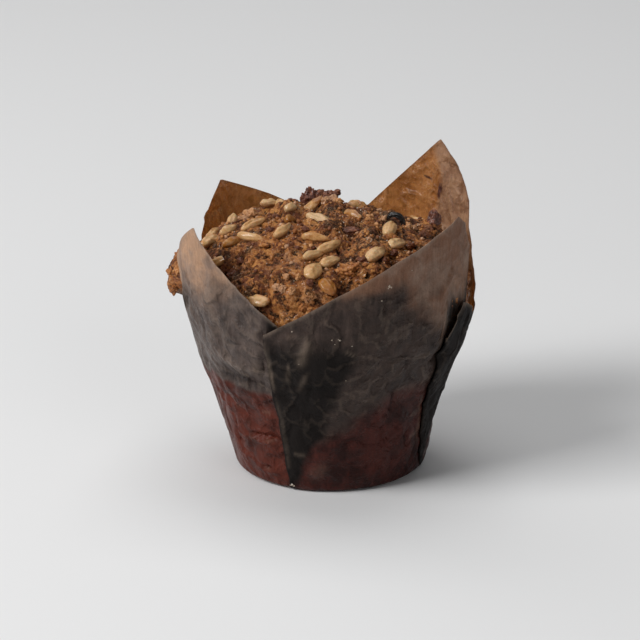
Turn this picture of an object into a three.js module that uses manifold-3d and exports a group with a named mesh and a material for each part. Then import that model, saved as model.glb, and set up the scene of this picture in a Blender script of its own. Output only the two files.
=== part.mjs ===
// A craggy seeded muffin baked in a tulip case: one square of baking paper pressed round a cup
// mould, so that its four corners stand up as petals and its spare width lies in four pleats.
// Millimetres, +Z up. The origin is the centre of the flat base on the surface it stands on, and
// the open front, where two petals part, faces -Y. Azimuths are degrees from -Y towards +X.
import * as THREE from "three";
import { mergeVertices } from "three/addons/utils/BufferGeometryUtils.js";
import Module from "manifold-3d";

const wasm = await Module();
wasm.setup();

const { abs, atan2, cos, exp, floor, hypot, log, max, min, PI, sin, sqrt, tan } = Math;
const DEGREE = PI / 180;
const CLEARANCE = 0.35; // between pieces that touch in the real muffin
const FACET_CLEARANCE = 0.8; // more of it between two round walls, whose flat facets cut corners

// The case: a cone up to the mould's rim, then petals that stand almost upright.
const BASE_RADIUS = 29.2;
const WALL_SLOPE = 17.2; // degrees from upright
// The wall is drawn in half way up, by this share more on the right than at the front.
const HOLLOW = { depth: 1.6, height: 25, reach: 15, toRight: 0.35 };
const RIM_HEIGHT = 49;
const RIM_ROUNDING = 3.5;
const PETAL_LEAN = 4; // degrees from upright above the rim
const LEAN_TO_LEFT = 1; // the two left petals lean out by this much more, the right ones by less
const PAPER = 0.5; // thickness, with its soaked-in grease and the stiffness of a solid
const LAYER_PITCH = 0.9; // from one layer of a pleat to the next
const FLOOR = 1;
const FOOT_HEIGHT = 5; // the pressed corner round the floor
const FOOT_ROUNDING = 1.5;
const FOOT_WALL = 1.4;
const FOOT_SIDES = 56;
const FOOT_OVER_WALL = 0.1; // the foot's radius over the wall's middle, so that the two merge
const BAND_START = 2; // height at which the pleated wall leaves the foot

// Going round, each panel starts at the outer fold of a pleat and ends tucked under the next
// panel. `edge` is its cut edge: [azimuth, height], through the petal's tip, down to the inner fold.
const PANELS = [
  {
    fold: -26, // azimuth of the outer fold at the rim
    swing: 2.6, // how much further round that fold meets the floor
    flap: 0.55, // width that the flap under it gains for each millimetre of height
    lift: 0.4, // how far the fold's edge stands off what it covers
    edge: [
      [-26, 55.5], [3, 69.5], [26, 79], [56, 88.3], [61, 84], [67.5, 77],
      [68.5, 66], [69.5, 54], [84, 44], [110, 34],
    ],
  },
  {
    fold: 50.5,
    swing: 22,
    flap: 0.62,
    lift: 0.7,
    edge: [
      [50.5, 50], [62, 59], [66, 58], [84, 50], [93, 51.5], [110.5, 71],
      [112, 78], [121, 87.3], [132.5, 95], [151, 80.5], [175, 61], [200, 40],
    ],
  },
  {
    fold: 160,
    swing: 0,
    flap: 0.55,
    lift: 0.8,
    edge: [[160, 56.5], [192, 68.5], [205, 74], [226.5, 81.5], [243, 65.3], [256, 50], [282, 30]],
  },
  {
    fold: 244,
    swing: 0,
    flap: 0.55,
    lift: 0.8,
    edge: [
      [244, 44], [259, 47], [268, 54], [276, 66], [291, 78.4],
      [301.5, 84], [311, 75], [339, 58.6], [370, 34],
    ],
  },
];
const FLAP_AT_FLOOR = 3; // width of a pleat's flap where it meets the floor
const FLAP_SHARES = [0.08, 0.18, 0.27, 0.34, 0.55, 0.8, 1]; // of its width, where its columns lie
const EASE = 8; // length over which a panel settles from on top of a flap to the panel's own level
const FOLD_SWING_HEIGHT = 14; // over this height a fold's swing dies away
const RINGS = 10; // rows of points up the wall
const PANEL_STEP = 12; // degrees between a panel's columns

// The muffin: it fills the case and rises over it in a flat-topped dome.
const DOME_START = 50;
const DOME_HEIGHT = 29;
const DOME_FLATNESS = 2.9;
const BODY_DETAIL = 14; // each edge of an icosahedron is cut into one more than this
const RELIEF_CENTRE = 50; // the height of the point that the body is drawn round
// Lumps and hollows of the crust: azimuth, radius, height, rise, width.
const LUMPS = [
  [-95, 33, 70, 4.2, 12],
  [-60, 24, 76, 1.5, 9],
  [68, 35, 68, 3.6, 9],
  [150, 30, 70, -1.6, 11],
  [205, 33, 70, 2.4, 11],
  [172, 22, 77, -2, 9],
  [-8, 36, 68, 1.6, 9],
  [35, 30, 72, 1.2, 8],
];
// Where the crust burst out between two petals.
const BURST = { azimuth: -98, height: 59.3, reach: 8.6, width: 8, rise: 8.4 };
// Crags: rounded knobs with creases between them, at two sizes.
const CRAGS = [
  { size: 12, knob: 3.8, crease: 1.15 },
  { size: 6, knob: 2.8, crease: 0.85 },
];

// Hulled sunflower seeds on the open front: x, y, turn in the plane, lift of the far end in
// degrees, length, width.
const PLACED_SEEDS = [
  [-6, 13.5, 45, 25, 9.2, 3.4],
  [-3, -4.5, -20, -15, 9.3, 4],
  [-12.5, 7.5, 70, -20, 8.2, 3.4],
  [-18.5, 19.5, 45, -15, 8.5, 3.7],
  [-12, -1.5, 70, -10, 8, 2.4],
  [-14.5, -14.5, 50, 0, 7.8, 2.7],
  [-23.5, -4, 30, 10, 9, 2.7],
  [-30.5, 10.5, 80, 0, 8, 3],
  [-31, -3, 50, -5, 7.7, 3],
  [-36, 0.5, 60, 5, 8, 2.4],
  [-24, -12.5, -30, -10, 9.5, 2.7],
  [-29.5, -12.5, 30, 0, 7.4, 2.7],
  [-36.5, -3, 45, -15, 7.8, 3],
  [-33.5, -13.5, 5, 5, 8.6, 2.7],
  [-4.5, -18, -15, 0, 8.9, 2.4],
  [-0.5, -21.5, 40, 10, 9.3, 3],
  [-5, -25.5, 40, -5, 8.5, 2.7],
  [0, -27.5, 45, -5, 7.9, 3.7],
  [-5, -33.5, 70, 5, 8.6, 5.2],
  [-1, -38, -55, 5, 7.2, 4.6],
  [13.5, -26.5, 55, 10, 8.8, 4],
  [18, -8.5, 80, 10, 8.7, 4],
  [20, -16.5, 55, 5, 8.2, 4],
  [7, 5.5, -45, 5, 7.7, 2.7],
  [8, 30.5, -70, 0, 8.4, 3],
  [-21, -33, -30, 15, 7.4, 3.7],
];
const SEED_THICKNESS = 2.4;
const SEED_TAPER = 0.2;
const SEED_SUNK = 0.15; // share of its thickness that a seed's middle lies above the crust
// The far side is strewn by a rule: one seed in each cell of a spiral, with a seeded jitter.
const STREWN_SEEDS = 14;
const STREWN_RADIUS = [12, 36];
const GOLDEN_ANGLE = 137.5;

// Pieces of dried fruit that show: name, x, y, sizes, turn in the plane.
const FRUIT = [
  { name: "dried_fruit_middle", at: [20, 4], size: [5.4, 3.6, 3.6], turn: -20 },
  { name: "dried_fruit_right", at: [32, 10], size: [4.4, 4.2, 6.4], turn: 20 },
  { name: "dried_fruit_centre", at: [6, -10.5], size: [7.2, 4.4, 3], turn: 10 },
  { name: "dried_fruit_back", at: [-12, 28], size: [5.4, 4.4, 3.8], turn: 40 },
];
const FRUIT_SUNK = 0.18; // share of its height that a piece's middle lies above the crust
const SHRIVEL = { dents: 0.16, ribs: 0.08, count: 6 };
// The large piece on top: a dark lump with a ragged flake of its skin baked out to one side.
const CHUNK_AT = [-7.2, 20.5];
const CHUNK_SIZE = [5, 5, 9];
const FLAKE_SIZE = [9.2, 4, 3];
const FLAKE_OFFSET = [5.6, 0.5, 1.8];
const FLAKE_LIFT = 4; // degrees

const PAPER_COLOUR = 0x4b302b;
const CRUST_COLOUR = 0x8a5a32;
const FRUIT_COLOUR = 0x33201c;

const ramp = (t) => {
  const u = min(max(t, 0), 1);
  return u * u * (3 - 2 * u);
};
const around = (azimuth, radius, z) =>
  new THREE.Vector3(radius * sin(azimuth * DEGREE), -radius * cos(azimuth * DEGREE), z);

// The largest length, by halving, that still passes a test which every shorter one passes.
function largest(passes) {
  let [low, high] = [0, 110];
  while (high - low > 1e-7) {
    const middle = (low + high) / 2;
    if (passes(middle)) low = middle;
    else high = middle;
  }
  return low;
}

// ---- Solids ----

function solid(geometry) {
  const bare = geometry.clone();
  for (const name of ["normal", "uv"]) bare.deleteAttribute(name);
  const merged = mergeVertices(bare, 1e-4);
  return new wasm.Manifold(
    new wasm.Mesh({
      numProp: 3,
      vertProperties: new Float32Array(merged.attributes.position.array),
      triVerts: new Uint32Array(merged.index.array),
    }),
  );
}

// The largest body of a solid: a cut can leave loose scraps of crust.
const mainBody = (shape) =>
  shape.decompose().reduce((best, body) => (body.volume() > best.volume() ? body : best));

function meshOf(shape, name, colour, roughness) {
  const { vertProperties, triVerts, numProp } = shape.getMesh();
  const points = new Float32Array((vertProperties.length / numProp) * 3);
  for (let i = 0; i * 3 < points.length; i++)
    points.set(vertProperties.subarray(i * numProp, i * numProp + 3), i * 3);
  const geometry = new THREE.BufferGeometry()
    .setAttribute("position", new THREE.BufferAttribute(points, 3))
    .setIndex(new THREE.BufferAttribute(new Uint32Array(triVerts), 1));
  geometry.computeVertexNormals();
  const material = new THREE.MeshStandardMaterial({ color: colour, roughness, metalness: 0 });
  const mesh = new THREE.Mesh(geometry, material);
  mesh.name = name;
  return mesh;
}

// Smooth seeded noise between -1 and 1, with one random value at each corner of a unit lattice.
function noise(x, y, z) {
  const corner = (i, j, k) => {
    const s = sin(i * 127.1 + j * 311.7 + k * 74.7) * 43758.5453;
    return 2 * (s - floor(s)) - 1;
  };
  const [i, j, k] = [floor(x), floor(y), floor(z)];
  const [u, v, w] = [ramp(x - i), ramp(y - j), ramp(z - k)];
  const mix = (a, b, t) => a + (b - a) * t;
  const edge = (dj, dk) => mix(corner(i, j + dj, k + dk), corner(i + 1, j + dj, k + dk), u);
  return mix(mix(edge(0, 0), edge(1, 0), v), mix(edge(0, 1), edge(1, 1), v), w);
}

// ---- Paper case ----

// Radius of the innermost layer's middle at a height.
function wallRadius(azimuth, z) {
  const lower = tan(WALL_SLOPE * DEGREE);
  const upper = tan((PETAL_LEAN - LEAN_TO_LEFT * sin(azimuth * DEGREE)) * DEGREE);
  const aboveRim = RIM_ROUNDING * log(1 + exp((z - RIM_HEIGHT) / RIM_ROUNDING));
  const drawnIn = HOLLOW.depth * exp(-(((z - HOLLOW.height) / HOLLOW.reach) ** 2));
  const toSide = 1 + HOLLOW.toRight * sin(azimuth * DEGREE);
  return BASE_RADIUS + lower * z - (lower - upper) * aboveRim - drawnIn * toSide;
}

const foldAzimuth = (panel, z) => panel.fold + panel.swing * exp(-z / FOLD_SWING_HEIGHT);
const flapWidth = (panel, z) => FLAP_AT_FLOOR + panel.flap * z;

// Height of a line of [azimuth, height] points at an azimuth; its last stretches run on.
function heightOn(line, azimuth) {
  let i = 0;
  while (i < line.length - 2 && line[i + 1][0] < azimuth) i++;
  const [[a, p], [b, q]] = [line[i], line[i + 1]];
  return p + ((azimuth - a) / (b - a)) * (q - p);
}

// The height at which a column, whose azimuth is a function of height, meets a line.
const topOf = (azimuthAt, line) => largest((z) => heightOn(line, azimuthAt(z)) > z);

// A column of the folded sheet: its top, and its place at a height.
function columns() {
  const out = [];
  const turned = PANELS.map((panel, i) => {
    const next = PANELS[(i + 1) % PANELS.length];
    return { panel, next, lap: i + 1 === PANELS.length ? 360 : 0 };
  });
  for (const { panel, next, lap } of turned) {
    const start = (z) => foldAzimuth(panel, z);
    const end = (z) => foldAzimuth(next, z) + lap;
    const degreesPer = (z) => 1 / (DEGREE * wallRadius(end(z), z));
    // How far out a panel lies, by the distance along it from its own outer fold.
    const panelOffset = (z, along) =>
      2 * LAYER_PITCH * (1 - ramp((along - flapWidth(panel, z) - 1) / EASE)) +
      panel.lift * ramp(z / RIM_HEIGHT) * (1 - ramp(along / (3 * EASE)));

    // The panel that shows.
    const span = end(RIM_HEIGHT) - start(RIM_HEIGHT);
    const marks = panel.edge.map(([azimuth, z]) => (azimuth - start(z)) / (end(z) - start(z)));
    const shares = marks.filter((f) => f > 0.02 && f < 0.98);
    const count = Math.round(span / PANEL_STEP);
    for (let i = 0; i <= count; i++)
      if (shares.every((f) => abs(f - i / count) > 0.4 / count)) shares.push(i / count);
    for (const f of shares.sort((a, b) => a - b)) {
      const azimuthAt = (z) => start(z) + f * (end(z) - start(z));
      const along = (z) => f * (end(z) - start(z)) * DEGREE * wallRadius(start(z), z);
      out.push({ azimuthAt, top: topOf(azimuthAt, panel.edge), offsetAt: (z) => panelOffset(z, along(z)) });
    }

    // The flap under the next panel: inwards, round the inner fold, and back to the outer one.
    const flapAt = (f) => (z) => end(z) + f * flapWidth(next, z) * degreesPer(z);
    for (const f of FLAP_SHARES)
      out.push({ azimuthAt: flapAt(f), top: topOf(flapAt(f), panel.edge), offsetAt: () => 0 });
    const innerTop = out.at(-1).top;
    const half = LAYER_PITCH / 2;
    for (const turn of [60, 120])
      out.push({
        azimuthAt: (z) => flapAt(1)(z) + half * sin(turn * DEGREE) * degreesPer(z),
        top: innerTop,
        offsetAt: () => half * (1 - cos(turn * DEGREE)),
      });
    const outerTop = next.edge[0][1];
    const back = [
      [end(outerTop), outerTop],
      [flapAt(1)(innerTop), innerTop],
    ];
    const lifted = (z) => next.lift * ramp(z / RIM_HEIGHT);
    for (const f of [1, 0.66, 0.33, 0])
      out.push({
        azimuthAt: flapAt(f),
        top: f === 0 ? outerTop : topOf(flapAt(f), back),
        offsetAt: (z) => LAYER_PITCH + lifted(z) * (1 - ramp(f)),
      });
    for (const turn of [60, 120])
      out.push({
        azimuthAt: (z) => end(z) - half * sin(turn * DEGREE) * degreesPer(z),
        top: outerTop,
        offsetAt: (z) => LAYER_PITCH + half * (1 - cos(turn * DEGREE)) + lifted(z),
      });
  }
  return out;
}

// The pleated wall: a lathed band of paper whose columns are moved to the folded sheet's.
function paperWall() {
  const cols = columns();
  const middle = cols.map(({ azimuthAt, top, offsetAt }) =>
    Array.from({ length: RINGS }, (_, ring) => {
      const z = BAND_START + ((top - BAND_START) * ring) / (RINGS - 1);
      const azimuth = azimuthAt(z);
      return around(azimuth, wallRadius(azimuth, z) + offsetAt(z), z);
    }),
  );
  const at = (i, ring) => middle[(i + cols.length) % cols.length][ring];
  const normal = (i, ring) => {
    const along = at(i + 1, ring).clone().sub(at(i - 1, ring));
    const up = at(i, min(ring + 1, RINGS - 1)).clone().sub(at(i, max(ring - 1, 0)));
    return along.cross(up).normalize();
  };
  const section = [];
  for (let ring = 0; ring < RINGS; ring++) section.push(new THREE.Vector2(2, ring));
  for (let ring = RINGS - 1; ring >= 0; ring--) section.push(new THREE.Vector2(1, ring));
  section.push(section[0].clone());
  const band = new THREE.LatheGeometry(section, cols.length);
  const place = band.attributes.position;
  for (let i = 0; i <= cols.length; i++)
    for (let j = 0; j < section.length; j++) {
      const ring = section[j].y;
      const side = section[j].x === 2 ? PAPER / 2 : -PAPER / 2;
      const p = at(i % cols.length, ring).clone().addScaledVector(normal(i % cols.length, ring), side);
      place.setXYZ(i * section.length + j, p.x, p.y, p.z);
    }
  return solid(band);
}

// The floor with its pressed, rounded corner.
function paperFoot() {
  const outer = (z) => wallRadius(0, z) + FOOT_OVER_WALL;
  const points = [new THREE.Vector2(0, 0)];
  const steps = 4;
  for (let i = 0; i <= steps; i++) {
    const turn = (i / steps) * (90 - WALL_SLOPE) * DEGREE;
    const z = FOOT_ROUNDING * (1 - cos(turn));
    points.push(new THREE.Vector2(outer(z) - FOOT_ROUNDING * (1 - sin(turn)), z));
  }
  points.push(new THREE.Vector2(outer(FOOT_HEIGHT), FOOT_HEIGHT));
  points.push(new THREE.Vector2(outer(FOOT_HEIGHT) - FOOT_WALL, FOOT_HEIGHT));
  points.push(new THREE.Vector2(outer(FLOOR) - FOOT_WALL - FLOOR, FLOOR));
  points.push(new THREE.Vector2(0, FLOOR));
  return solid(new THREE.LatheGeometry(points, FOOT_SIDES).rotateX(PI / 2));
}

// ---- Muffin ----

// The highest layer of paper at an azimuth.
function paperTop(azimuth) {
  let top = 0;
  for (const { edge } of PANELS)
    for (const lap of [-360, 0, 360]) {
      const a = azimuth + lap;
      if (a >= edge[0][0] && a <= edge.at(-1)[0]) top = max(top, heightOn(edge, a));
    }
  return top;
}

// A point of the crust, moved out along the line from the relief's centre.
function crust(point) {
  const centre = new THREE.Vector3(0, 0, RELIEF_CENTRE);
  const away = point.clone().sub(centre);
  const rising = ramp((point.z - DOME_START + 2) / 8);
  let out = 0;
  for (const [azimuth, radius, height, rise, width] of LUMPS)
    out += rise * exp(-((point.distanceTo(around(azimuth, radius, height)) / width) ** 2));
  for (const { size, knob, crease } of CRAGS)
    out += knob * abs(noise(point.x / size + 20, point.y / size, point.z / size)) - crease;
  const p = point.clone().addScaledVector(away.clone().normalize(), out * rising);
  const azimuth = atan2(p.x, -p.y) / DEGREE;
  const reach = hypot(p.x, p.y);
  if (reach < 1e-6) return p;
  const sideways = abs(((azimuth - BURST.azimuth + 540) % 360) - 180) * DEGREE * reach;
  const burst =
    BURST.reach *
    exp(-((sideways / BURST.width) ** 2) - ((p.z - BURST.height) / BURST.rise) ** 6) *
    ramp((p.z - 48) / 4);
  // Below the cut edge the paper holds the crust in.
  const held = wallRadius(azimuth, p.z) - PAPER / 2 - CLEARANCE - FACET_CLEARANCE;
  const beside = 4; // so that no facet next to a free one cuts through the paper
  const edge = max(...[-beside, 0, beside].map((turn) => paperTop(azimuth + turn)));
  const above = ramp((p.z - edge - 1) / 1.5);
  const radius = min(reach + burst, held + above * 2 * BURST.reach);
  p.x *= radius / reach;
  p.y *= radius / reach;
  return p;
}

// Radius of the plain body, before its relief.
function bodyRadius(azimuth, z) {
  const gap = CLEARANCE + FACET_CLEARANCE;
  if (z > DOME_START) {
    const rise = min((z - DOME_START) / DOME_HEIGHT, 1);
    return (wallRadius(0, DOME_START) - PAPER / 2 - gap) * (1 - rise ** 2) ** (1 / DOME_FLATNESS);
  }
  const inFoot = wallRadius(0, z) - FOOT_WALL - gap - 2.5 * (1 - ramp((z - FLOOR) / 3));
  const inWall = wallRadius(azimuth, z) - PAPER / 2 - gap;
  return inFoot + (inWall - inFoot) * ramp((z - FOOT_HEIGHT) / 1.5);
}

// A geodesic ball whose points are moved out along their own directions to the body's surface.
function muffinBody() {
  const body = new THREE.IcosahedronGeometry(1, BODY_DETAIL);
  const place = body.attributes.position;
  const centre = new THREE.Vector3(0, 0, RELIEF_CENTRE);
  const away = new THREE.Vector3();
  const p = new THREE.Vector3();
  const bottom = FLOOR + CLEARANCE;
  for (let i = 0; i < place.count; i++) {
    away.fromBufferAttribute(place, i).normalize();
    const inside = (reach) => {
      p.copy(centre).addScaledVector(away, reach);
      return p.z > bottom && hypot(p.x, p.y) < bodyRadius(atan2(p.x, -p.y) / DEGREE, p.z);
    };
    const reach = largest(inside);
    p.copy(centre).addScaledVector(away, reach);
    const q = p.z > DOME_START - 1 ? crust(p) : p;
    place.setXYZ(i, q.x, q.y, q.z);
  }
  return solid(body);
}

// Height and outward direction of the crust over a point of the plan.
function crustAt(body, x, y) {
  const ray = new THREE.Raycaster(new THREE.Vector3(x, y, 120), new THREE.Vector3(0, 0, -1));
  const [hit] = ray.intersectObject(body);
  return { point: hit.point, up: hit.face.normal.clone() };
}

// Lays a geometry on the crust: its X along `turn`, tilted by `lift`, its Z out of the crust.
function layOn(body, geometry, [x, y], turn, lift, sunk) {
  const { point, up } = crustAt(body, x, y);
  const along = new THREE.Vector3(cos(turn * DEGREE), sin(turn * DEGREE), 0);
  const lean = up.clone().lerp(new THREE.Vector3(0, 0, 1), 0.35).normalize();
  const across = lean.clone().cross(along).normalize();
  const ahead = across.clone().cross(lean);
  const basis = new THREE.Matrix4().makeBasis(ahead, across, lean);
  const tilt = new THREE.Matrix4().makeRotationY(-lift * DEGREE);
  const place = new THREE.Matrix4().makeTranslation(point.addScaledVector(lean, sunk));
  return geometry.applyMatrix4(place.multiply(basis).multiply(tilt));
}

// A hulled seed: a flat drop with its point at +X.
function seedShape(length, width) {
  const seed = new THREE.SphereGeometry(0.5, 6, 3).rotateZ(-PI / 2);
  const place = seed.attributes.position;
  for (let i = 0; i < place.count; i++) {
    const taper = 1 - SEED_TAPER * 2 * place.getX(i);
    place.setXYZ(
      i,
      place.getX(i) * length,
      place.getY(i) * width * taper,
      place.getZ(i) * SEED_THICKNESS * taper,
    );
  }
  return seed;
}

function seeds(body) {
  const out = PLACED_SEEDS.map(([x, y, turn, lift, length, width]) =>
    layOn(body, seedShape(length, width), [x, y], turn, lift, SEED_SUNK * SEED_THICKNESS),
  );
  for (let i = 0; i < STREWN_SEEDS; i++) {
    const random = (n) => (noise(i * 1.7 + 0.5, n * 3.3 + 0.5, 7.5) + 1) / 2;
    const [near, far] = STREWN_RADIUS;
    const radius = near + (far - near) * sqrt((i + random(1)) / STREWN_SEEDS);
    const azimuth = 95 + ((i * GOLDEN_ANGLE) % 150) + 10 * random(2);
    const { x, y } = around(azimuth, radius, 0);
    const shape = seedShape(7.5 + 2 * random(3), 3 + random(4));
    out.push(layOn(body, shape, [x, y], 360 * random(5), 15 * random(6), SEED_SUNK * SEED_THICKNESS));
  }
  return out.map(solid);
}

// ---- Dried fruit ----

// A shrivelled lump: a ball pulled to size, with folds that run round it.
function shrivelled(size, detail, seed) {
  const ball = new THREE.IcosahedronGeometry(1, detail);
  const place = ball.attributes.position;
  const p = new THREE.Vector3();
  for (let i = 0; i < place.count; i++) {
    p.fromBufferAttribute(place, i);
    const dents = SHRIVEL.dents * noise(p.x * 2 + seed, p.y * 2, p.z * 2);
    const ribs = SHRIVEL.ribs * sin(SHRIVEL.count * atan2(p.z, p.y) + seed);
    p.multiplyScalar((1 + dents + ribs) / 2);
    place.setXYZ(i, p.x * size[0], p.y * size[1], p.z * size[2]);
  }
  return ball;
}

// A thin ragged flake with a drawn-out point at +X.
function flakeShape([length, width, height]) {
  const flake = new THREE.SphereGeometry(0.5, 12, 7).rotateZ(-PI / 2);
  const place = flake.attributes.position;
  for (let i = 0; i < place.count; i++) {
    const [x, y, z] = [place.getX(i), place.getY(i), place.getZ(i)];
    const ragged = 1 + 0.45 * noise(x * 7 + 3, y * 5, z * 5);
    place.setXYZ(i, x * length, y * width * ragged * (1.1 - 0.8 * x), z * height * ragged * (1 - 0.6 * x));
  }
  return flake;
}

function fruitSolids(body) {
  const pieces = FRUIT.map(({ name, at, size, turn }, i) => {
    const place = (grow) => {
      const grown = size.map((s) => s + 2 * grow);
      return solid(layOn(body, shrivelled(grown, 1, 3 * i + 1), at, turn, 0, FRUIT_SUNK * size[2]));
    };
    return { name, shape: place(0), socket: place(CLEARANCE + 0.25) };
  });
  const chunk = (grow) => {
    const lump = shrivelled(CHUNK_SIZE.map((s) => s + 2 * grow), 2, 11);
    const [dx, dy, dz] = FLAKE_OFFSET;
    const flake = flakeShape(FLAKE_SIZE.map((s) => s + 2 * grow))
      .rotateY(-FLAKE_LIFT * DEGREE)
      .translate(dx, dy, dz);
    const { point } = crustAt(body, ...CHUNK_AT);
    const lift = point.z + FRUIT_SUNK * CHUNK_SIZE[2];
    return solid(lump).add(solid(flake)).translate([...CHUNK_AT, lift]);
  };
  pieces.push({ name: "dried_fruit_top", shape: chunk(0), socket: chunk(CLEARANCE + 0.25) });
  return pieces;
}

// ---- The whole ----

const part = new THREE.Group();
part.add(meshOf(mainBody(paperFoot().add(paperWall())), "paper_case", PAPER_COLOUR, 0.6));

let muffin = muffinBody();
const bareCrust = meshOf(muffin, "crust", CRUST_COLOUR, 0.8);
const fruit = fruitSolids(bareCrust);
for (const seed of seeds(bareCrust)) muffin = muffin.add(seed);
for (const { socket } of fruit) muffin = muffin.subtract(socket);
part.add(meshOf(mainBody(muffin), "muffin", CRUST_COLOUR, 0.8));
for (const { name, shape } of fruit) part.add(meshOf(mainBody(shape), name, FRUIT_COLOUR, 0.45));

export default part;
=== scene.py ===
# A craggy seeded muffin in a tulip case of dark baking paper. Lengths below are in millimetres
# and angles in degrees; azimuths run from the open front, -Y, towards +X.
import math
import random

import bmesh
import bpy
from mathutils import Matrix, Vector, noise
from mathutils.bvhtree import BVHTree


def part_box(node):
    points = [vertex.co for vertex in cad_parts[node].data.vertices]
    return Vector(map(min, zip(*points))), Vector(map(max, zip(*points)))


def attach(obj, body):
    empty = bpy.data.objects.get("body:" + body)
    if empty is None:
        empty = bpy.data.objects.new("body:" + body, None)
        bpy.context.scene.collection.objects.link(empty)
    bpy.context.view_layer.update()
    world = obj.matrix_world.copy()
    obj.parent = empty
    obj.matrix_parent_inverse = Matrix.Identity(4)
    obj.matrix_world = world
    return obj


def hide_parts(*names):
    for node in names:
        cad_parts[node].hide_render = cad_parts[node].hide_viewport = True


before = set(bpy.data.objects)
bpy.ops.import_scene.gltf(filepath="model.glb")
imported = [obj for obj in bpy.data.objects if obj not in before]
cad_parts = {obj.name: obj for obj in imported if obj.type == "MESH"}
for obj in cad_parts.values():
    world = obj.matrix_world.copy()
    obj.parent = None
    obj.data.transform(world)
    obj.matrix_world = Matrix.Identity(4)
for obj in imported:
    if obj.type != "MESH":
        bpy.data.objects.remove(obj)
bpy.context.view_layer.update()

# ---- The muffin's paper case ----
# One square of thin baking paper was pressed round a cup mould. Its corners stand up as four
# petals, and the width that the cup doesn't need lies in four pleats, one layer on the next two.
MM = 0.001
BASE_RADIUS = 29.2
WALL_SLOPE = 17.2  # from upright
HOLLOW = 1.6  # how far the wall draws in half way up, and by what share more on the right
HOLLOW_HEIGHT, HOLLOW_REACH = 25, 15
HOLLOW_TO_RIGHT = 0.35
RIM_HEIGHT = 49
RIM_ROUNDING = 3.5
PETAL_LEAN = 4
LEAN_TO_LEFT = 1
FOOT_ROUNDING = 1.5
PAPER = 0.13
PITCH = 0.42  # from one layer of a pleat to the next
PITCH_UNDER_BASE = 0.15
# Each panel starts at the outer fold of a pleat and ends tucked under the next panel.
PANELS = [
    {  # right of the front fold
        "fold": -26, "swing": 2.6, "flap": 0.55, "lift": 0.4,
        "edge": [
            (-26, 55.5), (3, 69.5), (26, 79), (56, 88.3), (61, 84), (67.5, 77),
            (68.5, 66), (69.5, 54), (84, 44), (110, 34),
        ],
    },
    {  # the tall one at the back right
        "fold": 50.5, "swing": 22, "flap": 0.62, "lift": 0.7,
        "edge": [
            (50.5, 50), (62, 59), (66, 58), (84, 50), (93, 51.5), (110.5, 71),
            (112, 78), (121, 87.3), (132.5, 95), (151, 80.5), (175, 61), (200, 40),
        ],
    },
    {  # back left
        "fold": 160, "swing": 0, "flap": 0.55, "lift": 0.8,
        "edge": [(160, 56.5), (192, 68.5), (205, 74), (226.5, 81.5), (243, 65.3), (256, 50), (282, 30)],
    },
    {  # left of the front fold
        "fold": 244, "swing": 0, "flap": 0.55, "lift": 0.8,
        "edge": [
            (244, 44), (259, 47), (268, 54), (276, 66), (291, 78.4),
            (301.5, 84), (311, 75), (339, 58.6), (370, 34),
        ],
    },
]
FLAP_AT_FLOOR = 3
EASE = 8  # over this length a panel settles from on top of a flap to its own level
FOLD_SWING_HEIGHT = 14


def ramp(t):
    """A smooth rise from 0 at 0 to 1 at 1."""
    u = min(max(t, 0), 1)
    return u * u * (3 - 2 * u)


def around(azimuth, radius, z):
    """The point at an azimuth, a radius and a height."""
    a = math.radians(azimuth)
    return Vector((radius * math.sin(a), -radius * math.cos(a), z))


def wall_radius(azimuth, z):
    """The cup's radius: a cone with a rounded foot, nearly upright above the rim."""
    lower = math.tan(math.radians(WALL_SLOPE))
    lean = PETAL_LEAN - LEAN_TO_LEFT * math.sin(math.radians(azimuth))
    upper = math.tan(math.radians(lean))
    over_rim = RIM_ROUNDING * math.log(1 + math.exp((z - RIM_HEIGHT) / RIM_ROUNDING))
    below = FOOT_ROUNDING - min(z, FOOT_ROUNDING)
    foot = FOOT_ROUNDING - math.sqrt(max(FOOT_ROUNDING**2 - below**2, 0))
    hollow = HOLLOW * math.exp(-(((z - HOLLOW_HEIGHT) / HOLLOW_REACH) ** 2))
    hollow *= 1 + HOLLOW_TO_RIGHT * math.sin(math.radians(azimuth))
    return BASE_RADIUS + lower * z - (lower - upper) * over_rim - hollow - foot


def height_on(line, azimuth):
    """Height of a line of (azimuth, height) points; its last stretches run on."""
    i = 0
    while i < len(line) - 2 and line[i + 1][0] < azimuth:
        i += 1
    (a, p), (b, q) = line[i], line[i + 1]
    return p + (azimuth - a) / (b - a) * (q - p)


def top_of(azimuth_at, line):
    """The height at which a column, whose azimuth is a function of height, meets a line."""
    low, high = 0, 110
    while high - low > 1e-4:
        middle = (low + high) / 2
        if height_on(line, azimuth_at(middle)) > middle:
            low = middle
        else:
            high = middle
    return low


PANEL_STEP = 1.15  # degrees between a panel's columns
FLAP_SHARES = [0.06, 0.14, 0.25, 0.4, 0.55, 0.7, 0.85, 0.95, 1]
FOLD_TURNS = [36, 72, 108, 144]
FLAP_SINK = 0.6  # how far inside its layer a flap lies, in layers


def fold_at(panel, z, lap=0):
    """The azimuth of a panel's outer fold, which swings round towards the base."""
    return panel["fold"] + lap + panel["swing"] * math.exp(-z / FOLD_SWING_HEIGHT)


def flap_darkness_and_shade(z, along, panel):
    """1 where a panel lies on its own flap, so that three layers make it dark; on the back right flap it
    also marks painted shade.
    """
    ragged = 2.2 * noise.noise(Vector((along / 6, z / 6, panel["fold"])))
    under = 1 - ramp((along - FLAP_AT_FLOOR + 2.5 - panel["flap"] * z - ragged) / 9 + 0.5)
    # Only the front flap fades with height. The others stay dark up to their tops, which on the back
    # right flap paints the shade of paper turned away from the light.
    return under * (1 - 0.75 * ramp((z - 44) / 14)) if panel["fold"] < 0 else under


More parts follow.
